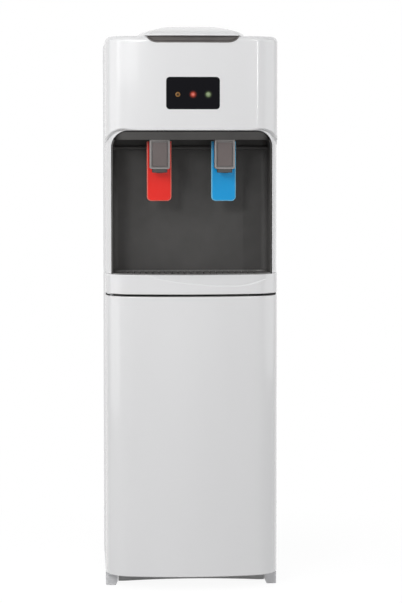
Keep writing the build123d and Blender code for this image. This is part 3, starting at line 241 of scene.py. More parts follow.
def round_corners(corners, steps=6):
    """Points of an outline whose corners are given as (x, y, radius)."""
    points = []
    count = len(corners)
    for index, (x, y, radius) in enumerate(corners):
        here = Vector((x, y))
        if radius <= 0:
            points.append((x, y))
            continue
        before = (Vector(corners[index - 1][:2]) - here).normalized()
        after = (Vector(corners[(index + 1) % count][:2]) - here).normalized()
        half_angle = before.angle(after) / 2
        reach = radius / math.tan(half_angle)
        centre = here + (before + after).normalized() * radius / math.sin(half_angle)
        start = here + before * reach - centre
        end = here + after * reach - centre
        side = 1 if start.x * end.y - start.y * end.x > 0 else -1
        for angle in sweep(side * start.angle(end), steps):
            points.append((centre.x + start.x * math.cos(angle) - start.y * math.sin(angle),
                           centre.y + start.x * math.sin(angle) + start.y * math.cos(angle)))
    return points


def rectangle(left, right, bottom, top, radius=0.0, steps=6):
    return round_corners([(left, bottom, radius), (right, bottom, radius),
                          (right, top, radius), (left, top, radius)], steps)


def arch(half, bottom, top, radius, steps=10):
    """Front-view outline with square lower and round upper corners."""
    return round_corners([(-half, bottom, 0), (half, bottom, 0), (half, top, radius), (-half, top, radius)], steps)


def circle(x, y, radius, steps=32):
    return [(x + radius * math.cos(angle), y + radius * math.sin(angle)) for angle in sweep(math.tau, steps)[:-1]]


def smooth_line(guides, steps):
    """Points on a smooth line through the given ones."""
    ends = [guides[0]] + guides + [guides[-1]]
    points = []
    for a, b, c, d in zip(ends, ends[1:], ends[2:], ends[3:]):
        for step in range(steps):
            t = step / steps
            points.append(tuple(
                0.5 * (2 * q + (r - p) * t + (2 * p - 5 * q + 4 * r - s) * t ** 2 + (3 * q - p - 3 * r + s) * t ** 3)
                for p, q, r, s in zip(a, b, c, d)))
    points.append(guides[-1])
    return points


def arc_through(start, via, end, steps):
    """Points on the circle through three points."""
    (ax, ay), (bx, by), (cx, cy) = start, via, end
    first, second, third = ax ** 2 + ay ** 2, bx ** 2 + by ** 2, cx ** 2 + cy ** 2
    d = 2 * (ax * (by - cy) + bx * (cy - ay) + cx * (ay - by))
    ux = (first * (by - cy) + second * (cy - ay) + third * (ay - by)) / d
    uy = (first * (cx - bx) + second * (ax - cx) + third * (bx - ax)) / d
    radius = math.hypot(ax - ux, ay - uy)
    start_angle = math.atan2(ay - uy, ax - ux)
    turn = (math.atan2(cy - uy, cx - ux) - start_angle) % math.tau
    if (math.atan2(by - uy, bx - ux) - start_angle) % math.tau > turn:
        turn -= math.tau
    return [(ux + radius * math.cos(start_angle + angle), uy + radius * math.sin(start_angle + angle))
            for angle in sweep(turn, steps)]


def rounded_ends(start, end, start_round, end_round, steps=5):
    """(inset, place) pairs that round both ends of a prism."""
    turns = sweep(math.pi / 2, steps)
    pairs = [(start_round * (1 - math.sin(turn)), start + start_round * (1 - math.cos(turn))) for turn in turns]
    pairs += [(end_round * (1 - math.cos(turn)), end - end_round * (1 - math.sin(turn))) for turn in turns]
    if not start_round:
        pairs = pairs[steps:]
    if not end_round:
        pairs = pairs[:len(pairs) - steps]
    return pairs


def flat(points, z):
    return [Vector((x, y, z)) for x, y in points]


def upright(points, y):
    return [Vector((x, y, z)) for x, z in points]


def sideways(points, x):
    return [Vector((x, y, z)) for y, z in points]


# ---------- meshes ----------
def add_object(name, build):
    """Turns a bmesh into a linked object; spaces in its name become underscores."""
    name = name.replace(" ", "_")
    bmesh.ops.recalc_face_normals(build, faces=build.faces)
    mesh = bpy.data.meshes.new(name)
    build.to_mesh(mesh)
    build.free()
    obj = bpy.data.objects.new(name, mesh)
    bpy.context.scene.collection.objects.link(obj)
    return obj


def loft(name, rings):
    """Solid through a stack of point rings, closed at both ends."""
    build = bmesh.new()
    rows = [[build.verts.new(point) for point in ring] for ring in rings]
    for near, far in zip(rows, rows[1:]):
        for index in range(len(near)):
            after = (index + 1) % len(near)
            build.faces.new((near[index], near[after], far[after], far[index]))
    build.faces.new(rows[0])
    build.faces.new(rows[-1])
    return add_object(name, build)


def prism_z(name, points, bottom, top):
    return loft(name, [flat(points, bottom), flat(points, top)])


def prism_y(name, points, near, far):
    return loft(name, [upright(points, near), upright(points, far)])


def prism_x(name, points, left, right):
    return loft(name, [sideways(points, left), sideways(points, right)])


def settle(obj):
    """Applies the modifiers to the mesh."""
    graph = bpy.context.evaluated_depsgraph_get()
    mesh = bpy.data.meshes.new_from_object(obj.evaluated_get(graph), depsgraph=graph)
    obj.modifiers.clear()
    obj.data = mesh
    return obj


def combine(obj, tools, operation):
    """Applies solids to a piece one after the other and removes them."""
    for tool in tools:
        step = obj.modifiers.new("combine", "BOOLEAN")
        step.operation = operation
        step.solver = "EXACT"
        step.object = tool
        settle(obj)
        bpy.data.objects.remove(tool)
    return obj


def cut(obj, *tools):
    return combine(obj, tools, "DIFFERENCE")


def fuse(obj, *tools):
    return combine(obj, tools, "UNION")


def keep(obj, *tools):
    return combine(obj, tools, "INTERSECT")


def merge(name, objects):
    """One object from several that don't overlap."""
    build = bmesh.new()
    for obj in objects:
        build.from_mesh(obj.data)
        bpy.data.objects.remove(obj)
    return add_object(name, build)


def tidy(obj, bevel=0.0):
    """Cleans the mesh, softens its sharp edges and weights its normals by face area."""
    least = 2e-6
    soften_from, sharp_from = math.radians(30), math.radians(40)
    build = bmesh.new()
    build.from_mesh(obj.data)
    bmesh.ops.remove_doubles(build, verts=build.verts, dist=least)
    bmesh.ops.dissolve_degenerate(build, edges=build.edges, dist=least)
    build.to_mesh(obj.data)
    build.free()
    if bevel:
        step = obj.modifiers.new("soft edges", "BEVEL")
        step.width = bevel
        step.segments = 2
        step.limit_method = "ANGLE"
        step.angle_limit = soften_from
        step.use_clamp_overlap = True
        step.miter_outer = "MITER_ARC"
        settle(obj)
    obj.data.shade_smooth()
    obj.data.set_sharp_from_angle(angle=sharp_from)
    step = obj.modifiers.new("even shading", "WEIGHTED_NORMAL")
    step.keep_sharp = True
    return settle(obj)


def follow_bow(obj, inset=0.0):
    """Gives the faces on the bowed front the exact normals of its plan arcs."""
    steepest, backward = 0.1, 0.05
    side_reach, front_reach = 1e-5, 0.0003
    bow = sizes().bow_radius
    _, centre_x, centre_y, tilt = front_arcs()
    mesh = obj.data
    normals = [normal.vector.copy() for normal in mesh.corner_normals]
    for face in mesh.polygons:
        if abs(face.normal.z) > steepest or face.normal.y > backward:
            continue
        x, y = face.center.x, face.center.y
        if abs(abs(x) - HALF + inset) > side_reach and abs(y - front_depth(x, inset)) > front_reach:
            continue
        for loop in face.loop_indices:
            point = mesh.vertices[mesh.loops[loop].vertex_index].co
            if abs(point.x) < (bow - inset) * math.sin(tilt) + 1e-6:
                normal = Vector((point.x, point.y - FRONT - bow, 0))
            elif point.y < centre_y:
                normal = Vector((point.x - math.copysign(centre_x, point.x), point.y - centre_y, 0))
            else:
                normal = Vector((point.x, 0, 0))
            normals[loop] = normal.normalized()
    mesh.normals_split_custom_set(normals)


def place(obj, body, slot, finish, *nodes):
    """Puts a finish on a piece, and says what carries it and which nodes it stands for."""
    obj.data.materials.clear()
    obj.data.materials.append(MATERIALS[finish])
    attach(obj, body)
    if nodes:
        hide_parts(*nodes)


# ---------- finishes ----------
MATERIALS = {}


class Finish:
    """A material whose nodes are added one by one."""

    def __init__(self, name, colour, roughness, metallic=0.0, coat=0.0, specular=0.5):
        self.material = bpy.data.materials.new(name)
        self.material.use_nodes = True
        self.tree = self.material.node_tree
        self.shader = self.tree.nodes["Principled BSDF"]
        for socket, value in (("Base Color", (*colour, 1)), ("Roughness", roughness), ("Metallic", metallic),
                              ("Coat Weight", coat), ("Coat Roughness", 0.06), ("Specular IOR Level", specular)):
            self.shader.inputs[socket].default_value = value
        self.colour = colour
        self.place = self.add("ShaderNodeTexCoord").outputs["Object"]

    def add(self, kind, **values):
        node = self.tree.nodes.new(kind)
        for key, value in values.items():
            setattr(node, key, value)
        return node

    def link(self, source, target):
        self.tree.links.new(source, target)

    def noise(self, scale, detail=3.0, roughness=0.55, stretch=(1, 1, 1)):
        mapping = self.add("ShaderNodeMapping")
        mapping.inputs["Scale"].default_value = stretch
        texture = self.add("ShaderNodeTexNoise")
        texture.inputs["Scale"].default_value = scale
        texture.inputs["Detail"].default_value = detail
        texture.inputs["Roughness"].default_value = roughness
        self.link(self.place, mapping.inputs["Vector"])
        self.link(mapping.outputs["Vector"], texture.inputs["Vector"])
        return texture.outputs["Fac"]

    def spread(self, value, low_value, high_value, start=0.3, end=0.7):
        """Maps a texture to a range of values."""
        node = self.add("ShaderNodeMapRange")
        for socket, amount in (("From Min", start), ("From Max", end), ("To Min", low_value), ("To Max", high_value)):
            node.inputs[socket].default_value = amount
        self.link(value, node.inputs["Value"])
        return node.outputs["Result"]

    def math(self, operation, first, second=0.0):
        node = self.add("ShaderNodeMath", operation=operation)
        for socket, value in zip(node.inputs, (first, second)):
            if isinstance(value, (int, float)):
                socket.default_value = value
            else:
                self.link(value, socket)
        return node.outputs[0]

    def mix(self, factor, first, second):
        """Goes from the first colour or socket to the second where the factor is high."""
        node = self.add("ShaderNodeMix", data_type="RGBA")
        self.link(factor, node.inputs["Factor"])
        for socket, colour in ((node.inputs["A"], first), (node.inputs["B"], second)):
            if isinstance(colour, bpy.types.NodeSocket):
                self.link(colour, socket)
            else:
                socket.default_value = (*colour, 1)
        return node.outputs["Result"]

    def tint(self, factor, colour, base=None):
        """Mixes another colour into the surface where the factor is high."""
        result = self.mix(factor, self.colour if base is None else base, colour)
        self.link(result, self.shader.inputs["Base Color"])
        return result

    def emit(self, colour, strength=1.0):
        self.link(colour, self.shader.inputs["Emission Color"])
        self.shader.inputs["Emission Strength"].default_value = strength

    def relief(self, height, distance, strength=1.0):
        """Adds a bump of the given depth in metres."""
        node = self.add("ShaderNodeBump")
        node.inputs["Distance"].default_value = distance
        node.inputs["Strength"].default_value = strength
        self.link(height, node.inputs["Height"])
        self.link(node.outputs["Normal"], self.shader.inputs["Normal"])

    def polish(self, value, low_value, high_value):
        self.link(self.spread(value, low_value, high_value), self.shader.inputs["Roughness"])


def shade(colour, factor):
    return tuple(min(channel * factor, 1.0) for channel in colour)


def gloss_moulding(name, colour, roughness=0.24):
    """Shiny moulded plastic with faint flow marks and a slight orange peel."""
    finish = Finish(name, colour, roughness, coat=0.9)
    flow = finish.noise(7.0, 2.0, 0.5, (1, 1, 0.35))
    finish.tint(finish.spread(flow, 0.0, 1.0, 0.35, 0.75), shade(colour, 0.965))
    finish.polish(finish.noise(38.0, 4.0, 0.6), roughness * 0.94, roughness * 1.08)
    finish.relief(finish.noise(160.0, 2.0, 0.4), 0.00001, 0.05)
    return finish.material


def edge_highlit_moulding(name, colour, edge):
    """Shiny paddle plastic with a painted highlight: a paler colour on its rounded edges."""
    finish = Finish(name, colour, 0.3, coat=0.45, specular=0.1)
    flow = finish.noise(9.0, 2.0, 0.5)
    plain = finish.tint(finish.spread(flow, 0.0, 1.0, 0.35, 0.75), shade(colour, 0.95))
    facing = finish.add("ShaderNodeSeparateXYZ")
    finish.link(finish.add("ShaderNodeTexCoord").outputs["Normal"], facing.inputs["Vector"])
    # Painted highlight: faces that turn away from the front get the paler edge colour.
    finish.tint(finish.spread(facing.outputs["Y"], 0.0, 1.0, -0.97, -0.8), edge, plain)
    finish.polish(finish.noise(60.0, 3.0), 0.29, 0.34)
    finish.relief(finish.noise(200.0, 2.0, 0.4), 0.00001, 0.05)
    return finish.material


def satin_moulding(name, colour, roughness=0.48, specular=0.5):
    """Dark moulded plastic with a fine spark texture."""
    finish = Finish(name, colour, roughness, specular=specular)
    cloud = finish.noise(11.0, 3.0, 0.6)
    finish.tint(finish.spread(cloud, 0.0, 1.0), shade(colour, 1.28))
    finish.polish(finish.noise(60.0, 3.0, 0.6), roughness * 0.86, roughness * 1.16)
    finish.relief(finish.noise(1400.0, 2.0, 0.7), 0.00006, 0.6)
    return finish.material


def coated_sheet(name, colour):
    """Powder-coated steel sheet with a fine orange peel."""
    finish = Finish(name, colour, 0.33, coat=0.1)
    finish.tint(finish.spread(finish.noise(5.0, 2.0), 0.0, 1.0), shade(colour, 0.97))
    finish.polish(finish.noise(90.0, 3.0), 0.28, 0.4)
    finish.relief(finish.noise(420.0, 1.0, 0.3), 0.00005, 0.35)
    return finish.material


def drawn_metal(name, colour, roughness=0.36, stretch=(1, 1, 0.04)):
    """Metal with fine drawing marks along one direction."""
    finish = Finish(name, colour, roughness, metallic=1.0)
    lines = finish.noise(900.0, 3.0, 0.6, stretch)
    finish.tint(finish.spread(lines, 0.0, 1.0), shade(colour, 0.82))
    finish.polish(lines, roughness * 0.8, roughness * 1.3)
    finish.relief(lines, 0.00002, 0.4)
    return finish.material


def soft_rubber(name, colour):
    """Dull rubber with a dusty bloom."""
    finish = Finish(name, colour, 0.75, specular=0.3)
    finish.tint(finish.spread(finish.noise(80.0, 4.0), 0.0, 0.5), shade(colour, 2.2))
    finish.relief(finish.noise(1200.0, 2.0), 0.00005, 0.5)
    return finish.material


def bead_foam(name, colour):
    """Moulded bead foam."""
    finish = Finish(name, colour, 0.8)
    beads = finish.add("ShaderNodeTexVoronoi", feature="F1")
    beads.inputs["Scale"].default_value = 260.0
    finish.link(finish.place, beads.inputs["Vector"])
    finish.tint(finish.spread(beads.outputs["Distance"], 0.0, 0.6, 0.2, 0.8), shade(colour, 0.85))
    finish.relief(beads.outputs["Distance"], 0.0006, -0.6)
    return finish.material


def circuit_board(name, colour):
    """Lacquered board with copper tracks under the lacquer."""
    finish = Finish(name, colour, 0.35, coat=0.4)
    tracks = finish.add("ShaderNodeTexBrick", offset=0.5)
    tracks.inputs["Scale"].default_value = 90.0
    tracks.inputs["Mortar Size"].default_value = 0.06
    finish.link(finish.place, tracks.inputs["Vector"])
    finish.tint(finish.spread(tracks.outputs["Fac"], 0.0, 1.0, 0.0, 1.0), (0.12, 0.34, 0.12))
    finish.relief(tracks.outputs["Fac"], 0.0001, 0.3)
    return finish.material


def glow_spot(finish, led, radius, soft):
    """A factor that falls from one at a lamp's axis to nothing at its edge."""
    split = finish.add("ShaderNodeSeparateXYZ")
    finish.link(finish.place, split.inputs["Vector"])
    across = finish.math("SUBTRACT", split.outputs["X"], middle(led).x)
    upward = finish.math("SUBTRACT", split.outputs["Z"], middle("red_led").z)
    squares = finish.math("ADD", finish.math("MULTIPLY", across, across), finish.math("MULTIPLY", upward, upward))
    return finish.spread(finish.math("SQRT", squares), 1.0, 0.0, radius, radius + soft)


def window_gloss(name, colour):
    """Near-black lamp window with the lit lamps' halos painted into it as glow."""
    c = colours()
    finish = Finish(name, colour, 0.1, specular=0.06)
    finish.polish(finish.noise(30.0, 3.0), 0.05, 0.1)
    finish.relief(finish.noise(60.0, 1.0), 0.00002, 0.2)
    # Painted glow: the window itself emits the halos round the lit lamps.
    halos = (0, 0, 0)
    for led, lit, strength in (("red_led", c.red, 0.35), ("green_led", c.green, 0.25)):
        spot = finish.math("POWER", glow_spot(finish, led, 0.0042, 0.004), 2.0)
        halos = finish.mix(finish.math("MULTIPLY", spot, strength), halos, lit)
    finish.emit(halos)
    return finish.material


def lamp_dome(name, colour, led, glow, painted_ring_highlight=False):
    """Domed lamp: lit from its middle, or unlit with a painted highlight that glows as a coloured ring round its dark
    middle.
    """
    unlit = shade(colour, 0.4)
    finish = Finish(name, unlit, 0.25, specular=0.2)
    finish.polish(finish.noise(400.0, 2.0), 0.1, 0.2)
    spot = glow_spot(finish, led, 0.0008, 0.0026)
    if painted_ring_highlight:
        # Unlit lamp: dark middle, and a ring that glows in the lamp's colour as a painted highlight.
        finish.tint(spot, (0.012, 0.008, 0.006))
        finish.emit(finish.mix(spot, colour, (0, 0, 0)), glow)
    else:
        finish.emit(finish.mix(spot, unlit, [0.8 * channel + 0.12 for channel in colour]), glow)
    return finish.material


class COOLER_OT_finishes(bpy.types.Operator):
    """Makes every finish and paints the nodes that keep their shape"""

    bl_idname = "cooler.finishes"
    bl_label = "Finishes"
    bl_options = {"REGISTER", "UNDO"}

    def execute(self, context):
        c = colours()
        MATERIALS.update({
            "cover": gloss_moulding("gloss white moulding", c.cover),
            "sheet": coated_sheet("white coated sheet", c.sheet),
            "niche": satin_moulding("dark satin moulding", c.niche, specular=0.2),
            "base": satin_moulding("grey base moulding", c.base, 0.5),
            "tray": satin_moulding("tray moulding", shade(c.niche, 1.5), 0.34, 0.8),
            "grip": satin_moulding("grip moulding", c.grip, 0.42),
            "foot": satin_moulding("grey foot moulding", c.foot, 0.5),
            "lens": window_gloss("black lamp window", c.lens),
            "tap": satin_moulding("tap moulding", c.tap, 0.36),
            "tap_face": satin_moulding("tap face moulding", c.tap_face, 0.45),
            "hot": edge_highlit_moulding("red paddle moulding", c.hot, c.hot_edge_highlight),
            "cold": edge_highlit_moulding("blue paddle moulding", c.cold, c.cold_edge_highlight),
            "blue": gloss_moulding("blue cap moulding", (0.03, 0.17, 0.45)),
            # The amber lamp is unlit; its glowing ring is a painted highlight.
            "amber": lamp_dome("amber lamp", c.amber, "amber_led", 0.5, painted_ring_highlight=True),
            "red": lamp_dome("red lamp", c.red, "red_led", 0.8),
            "green": lamp_dome("green lamp", c.green, "green_led", 0.5),
            "steel": drawn_metal("zinc steel", (0.52, 0.53, 0.54)),
            "stainless": drawn_metal("drawn stainless", (0.6, 0.6, 0.61), 0.2, (0.04, 0.04, 1)),
            "enamel": coated_sheet("black enamel", (0.022, 0.022, 0.023)),
            "rubber": soft_rubber("black rubber", (0.025, 0.025, 0.026)),
            "foam": bead_foam("bead foam", (0.86, 0.86, 0.84)),
            "tube": gloss_moulding("milky tube", (0.74, 0.77, 0.77), 0.35),
            "board": circuit_board("lacquered board", (0.03, 0.2, 0.08)),
        })
        by_slot = {
            "white_plastic": "cover", "white_steel": "sheet", "dark_plastic": "niche", "grip_plastic": "grip",
            "foot_plastic": "foot", "black_gloss": "lens", "amber_lamp": "amber", "red_lamp": "red",
            "green_lamp": "green", "tap_plastic": "tap", "red_plastic": "hot", "blue_plastic": "cold",
            "plain_steel": "steel", "stainless": "stainless", "black_enamel": "enamel", "rubber": "rubber",
            "foam": "foam", "soft_tube": "tube", "board_green": "board", "cap_blue": "blue",
        }
        by_node = {"base_tray": "base"}
        for part in frame["record"]["subparts"]:
            node = NODES[part["node"]]
            node.data.materials.clear()
            node.data.materials.append(MATERIALS[by_node.get(part["node"]) or by_slot[part["material_slot"]]])
        return {"FINISHED"}


# ---------- white front mouldings ----------
def bow_block(name, inset, bottom, top, back=SEAM, bottom_round=0.0, top_round=0.0, hinge=0.0, steps=6):
    """Solid with the body's bowed plan, its lower and upper edges rounded."""
    return loft(name, [flat(bow_plan(inset + drawn, back, hinge), z)
                       for drawn, z in rounded_ends(bottom, top, bottom_round, top_round, steps)])


def flared(name, outline, depth, flare_at, sink_at, back):
    """Tool for an opening whose front edge falls away where it leaves a curved surface."""
    unit, over = 0.001, 0.0002
    steps, curve = 6, 1.6
    edge = outline(0.0)
    ways = [((x1 - x0) / unit, (z1 - z0) / unit) for (x0, z0), (x1, z1) in zip(edge, outline(unit))]

    def ring(share, extra=0.0):
        points = []
        for (x, z), (way_x, way_z) in zip(edge, ways):
            grown = flare_at(x) * share + extra
            points.append((x + way_x * grown, z + way_z * grown))
        return points

    rings = [upright(ring(1.0, over), FRONT - 2 * CLEAR)]
    for step in range(steps + 1):
        share = step / steps
        proud = 0.0 if step else over
        rings.append([Vector((x, depth(x) + sink_at(x) * share ** curve - proud, z))
                      for x, z in ring(1 - share, proud)])
    rings.append(upright(edge, back))
    return loft(name, rings)


EDGE_FLARE = 0.0006  # flare and sink of an opening's edge where it is smallest


def towards_side(x):
    """Nought over the niche's middle and one at the body's sides."""
    start, reach = 0.09, 0.055
    share = min(max((abs(x) - start) / reach, 0.0), 1.0)
    return share * share * (3 - 2 * share)


def rim_flare(x):
    """Width of the bevel above the niche's rim."""
    widest = 0.0068
    return EDGE_FLARE + (widest - EDGE_FLARE) * towards_side(x)


def rim_sink(x):
    """Depth of that bevel, which takes the whole step at the sides."""
    whole = 1.15 * (rim_depth(x) - front_depth(x))
    return EDGE_FLARE + (whole - EDGE_FLARE) * towards_side(x)


def opening_flare(_):
    """The niche's opening has the same narrow edge all round."""
    return EDGE_FLARE


def long_arch(half, top, radius):
    """Arch outline down behind the apron, with closely spaced points along its long sides."""
    arc_steps, side_steps = 16, 32
    long_sides = (0, 1, arc_steps + 2, 2 * arc_steps + 3)
    corners = arch(half, APRON_TOP - 2 * CLEAR, top, radius, arc_steps)
    points = []
    for index, ((x0, z0), (x1, z1)) in enumerate(zip(corners, corners[1:] + corners[:1])):
        count = side_steps if index in long_sides else 1
        points += [(x0 + (x1 - x0) * i / count, z0 + (z1 - z0) * i / count) for i in range(count)]
    return points


def rim_arch(grown):
    """Outline of the step between the front and the niche's rim."""
    past_side, over_niche = 0.0005, 0.0026
    return long_arch(HALF + past_side + grown, NICHE_TOP + over_niche + grown, sizes().rim_corner + grown)


def niche_arch(grown):
    """Outline of the opening that the niche's insert stands in."""
    gap, over_niche, rounder = 0.0004, 0.0019, 0.0018
    return long_arch(NICHE_HALF + gap + grown, NICHE_TOP + over_niche + grown, sizes().niche_round + rounder + grown)


def grip_points(inset, top):
    """Front-view outline of the finger recess, its ends turned in towards its foot."""
    half = 0.0815 - inset
    drawn_in = 0.019
    start = BODY_TOP - 0.0005
    bottom = BODY_TOP - 0.0122 + inset
    right = [(half - drawn_in * (1 - math.cos(turn)), start - (start - bottom) * math.sin(turn))
             for turn in sweep(math.pi / 2, 12)]
    return [(half, top)] + right + [(-x, z) for x, z in reversed(right)] + [(-half, top)]


def lens_points(margin):
    """Front-view outline of the lamp window."""
    a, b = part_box("indicator_lens")
    return rectangle(a.x - margin, b.x + margin, a.z - margin, b.z + margin, 0.0062 + margin, 10)


class COOLER_OT_fascia(bpy.types.Operator):
    """Upper front moulding with the niche's scoop, lamp window and finger recess"""

    bl_idname = "cooler.fascia"
    bl_label = "Front Fascia"

    def execute(self, context):
        s = sizes()
        bottom = low("front_fascia").z
        lower_round, grip_depth, window_gap = 0.0008, 0.023, 0.0003
        shell = bow_block("fascia", 0, bottom, BODY_TOP, bottom_round=lower_round, top_round=s.top_round)
        pocket = flared("pocket", rim_arch, front_depth, rim_flare, rim_sink, SEAM + 2 * CLEAR)
        cut(pocket, prism_z("rim", rim_plan(0, SEAM + 3 * CLEAR), bottom - 3 * CLEAR, BODY_TOP))
        hollow = bow_block("hollow", s.wall, bottom - OVER, BODY_TOP - s.wall, back=SEAM + OVER)
        guard = prism_y("guard", rim_arch(s.wall), FRONT - 2 * CLEAR, SEAM + CLEAR)
        cut(guard, prism_z("inside", rim_plan(s.wall, SEAM + 3 * CLEAR), bottom - 4 * CLEAR, BODY_TOP + CLEAR))
        cut(hollow, guard)
        opening = flared("opening", niche_arch, rim_depth, opening_flare, opening_flare, SEAM + 2 * CLEAR)
        recess = prism_y("recess", grip_points(0, BODY_TOP + 2 * OVER), FRONT - CLEAR, FRONT + grip_depth)
        window = prism_y("window", lens_points(window_gap), FRONT - CLEAR, FRONT + CLEAR)
        cut(shell, hollow, pocket, opening, recess, window)
        tidy(shell)
        follow_bow(shell)
        place(shell, "cabinet", "white_plastic", "cover", "front_fascia")
        return {"FINISHED"}


class COOLER_OT_door(bpy.types.Operator):
    """Door skin with rounded edges, hollow and open at the back"""

    bl_idname = "cooler.door"
    bl_label = "Door"

    def execute(self, context):
        s = sizes()
        bottom, top = low("door_shell").z, high("door_shell").z
        inner_low, inner_high = bottom + s.wall, top - s.wall
        hinge = 0.012
        shell = bow_block("door skin", 0, bottom, top, bottom_round=s.edge_round, top_round=s.edge_round,
                          hinge=hinge, steps=4)
        hollow = bow_block("hollow", s.wall, inner_low, inner_high, back=SEAM - s.wall, hinge=hinge)
        mouth = prism_z("mouth", rectangle(hinge - HALF, HALF - s.wall, SEAM - s.wall - OVER, SEAM + OVER),
                        inner_low, inner_high)
        cut(shell, hollow, mouth)
        tidy(shell)
        follow_bow(shell)
        place(shell, "door", "white_plastic", "cover", "door_shell")
        return {"FINISHED"}


def crease_cutter():
    """Scoops the apron out above its falling crease, with a slanted step along the crease."""
    depth = sizes().crease_depth
    slope, out = 1.3, 0.002
    top = APRON_TOP + 0.004
    guides = [(-0.086, 0.001), (-0.05, -0.0092), (0.0, -0.0155), (0.05, -0.0192), (0.095, -0.0178), (0.131, -0.008)]
    rings = []
    for x, rise in smooth_line(guides, 8):
        front, crease = front_depth(x), APRON_TOP + rise
        rings.append(sideways([(front - out, top), (front - out, crease - (depth + out) * slope),
                               (front + depth, crease), (front + 0.0001, top)], x))
    return loft("crease", rings)


class COOLER_OT_apron(bpy.types.Operator):
    """White band under the niche with its falling crease"""

    bl_idname = "cooler.apron"
    bl_label = "Tray Apron"

    def execute(self, context):
        s = sizes()
        bottom = low("tray_apron").z
        mouth_rim, floor_rim = 0.008, 0.024
        far = SEAM + OVER
        shell = bow_block("apron", 0, bottom, APRON_TOP, bottom_round=s.edge_round, top_round=s.edge_round, steps=4)
        hollow = bow_block("hollow", s.wall, bottom + s.wall, APRON_TOP - s.wall, back=far)
        mouth = bow_block("mouth", mouth_rim, bottom + s.wall, APRON_TOP + OVER, back=far)
        floor = bow_block("floor", floor_rim, bottom - OVER, bottom + 2 * s.wall, back=far)
        cut(shell, hollow, mouth, floor, crease_cutter())
        tidy(shell)
        follow_bow(shell)
        place(shell, "cabinet", "white_plastic", "cover", "tray_apron")
        return {"FINISHED"}


class COOLER_OT_grip(bpy.types.Operator):
    """Dark cup behind the finger recess"""

    bl_idname = "cooler.grip"
    bl_label = "Finger Grip"

    def execute(self, context):
        gap, wall, inner_round = 0.0004, 0.0016, 0.004
        top = BODY_TOP - 0.0003
        far = high("grip_inset").y
        cup = prism_y("grip cup", grip_points(gap, top), FRONT, far)
        rings = [upright(grip_points(gap + wall + drawn, top + OVER), y)
                 for drawn, y in rounded_ends(FRONT - OVER, far - wall, 0.0, inner_round)]
        cut(cup, loft("hollow", rings))
        keep(cup, bow_block("limit", 0.001, BODY_TOP - 3 * CLEAR, BODY_TOP))
        tidy(cup)
        place(cup, "cabinet", "grip_plastic", "grip", "grip_inset")
        return {"FINISHED"}


# ---------- niche ----------
def paddle_lugs(x):
    """Two lugs under the ceiling that hold a paddle's pin."""
    pin = middle("cold_paddle_pin")
    radius, near, far = 0.005, 0.0114, 0.0144
    outline = [(pin.y + radius, CEILING + OVER), (pin.y - radius, CEILING + OVER)]
    outline += [(pin.y - radius * math.cos(turn), pin.z - radius * math.sin(turn)) for turn in sweep(math.pi, 12)]
    return [prism_x("lug", outline, x + side * near, x + side * far) for side in (-1, 1)]


def niche_ledge(back_face):
    """Rounded ledge across the niche's back, under its ceiling."""
    bottom, top, radius = CEILING - 0.019, CEILING - 0.012, 0.0028
    near, far = back_face - 0.011, back_face + OVER
    outline = round_corners([(near, bottom, radius), (far, bottom, 0), (far, top, 0), (near, top, radius)], 5)
    return prism_x("ledge", outline, OVER - NICHE_HALF, NICHE_HALF - OVER)


class COOLER_OT_niche(bpy.types.Operator):
    """Dark niche insert with its visor, ledge and the paddles' lugs"""

    bl_idname = "cooler.niche"
    bl_label = "Niche"

    def execute(self, context):
        s = sizes()
        bottom = low("niche_liner").z
        wall, setback, waist = 0.0025, 0.0015, 0.0025
        corner, spigot_hole = 0.012, 0.0062
        radius = s.niche_round - 0.0004
        half, near = NICHE_HALF - wall, FRONT - CLEAR
        back_face, far = NICHE_BACK - wall, NICHE_BACK + OVER

        shell = prism_y("niche insert", arch(NICHE_HALF, bottom, NICHE_TOP, radius), FRONT, NICHE_BACK)
        levels = [(0.0, bottom - OVER), (0.0, CEILING - 0.0002), (s.visor_slope, CEILING),
                  (waist, NICHE_TOP - 0.0035), (0.0, NICHE_TOP + 0.0005)]
        keep(shell, loft("visor", [flat(rim_plan(setback + drawn, far), z) for drawn, z in levels]))
        plan = round_corners([(-half, near, 0), (half, near, 0), (half, back_face, corner),
                              (-half, back_face, corner)], 8)
        room = prism_z("room", plan, bottom - OVER, CEILING)
        keep(room, prism_y("limit", arch(half, bottom - CLEAR, NICHE_TOP - wall, radius - wall), near, NICHE_BACK))
        cut(shell, room)
        fuse(shell, niche_ledge(back_face))
        for x in (-TAP_X, TAP_X):
            fuse(shell, *paddle_lugs(x))
            hole = circle(x, middle("cold_tap_body").y, spigot_hole)
            cut(shell, prism_z("hole", hole, CEILING - OVER, NICHE_TOP + 2 * OVER))
        tidy(shell, bevel=0.0004)
        place(shell, "cabinet", "dark_plastic", "niche", "niche_liner")
        return {"FINISHED"}


def tray_plan(inset):
    """Plan outline of the drip tray, drawn in by an inset."""
    front_round, rear_round = 0.004, 0.018
    a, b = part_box("drip_tray")
    half = b.x - inset
    edge = a.y - FRONT + inset
    front = [(half - across, front_depth(half - across) + edge) for across in sweep(2 * half, 30)]
    rear = b.y - inset
    return round_corners([(half, front[0][1], front_round)] + [(x, y, 0) for x, y in front[1:-1]] +
                         [(-half, front[-1][1], front_round), (-half, rear, rear_round), (half, rear, rear_round)], 5)


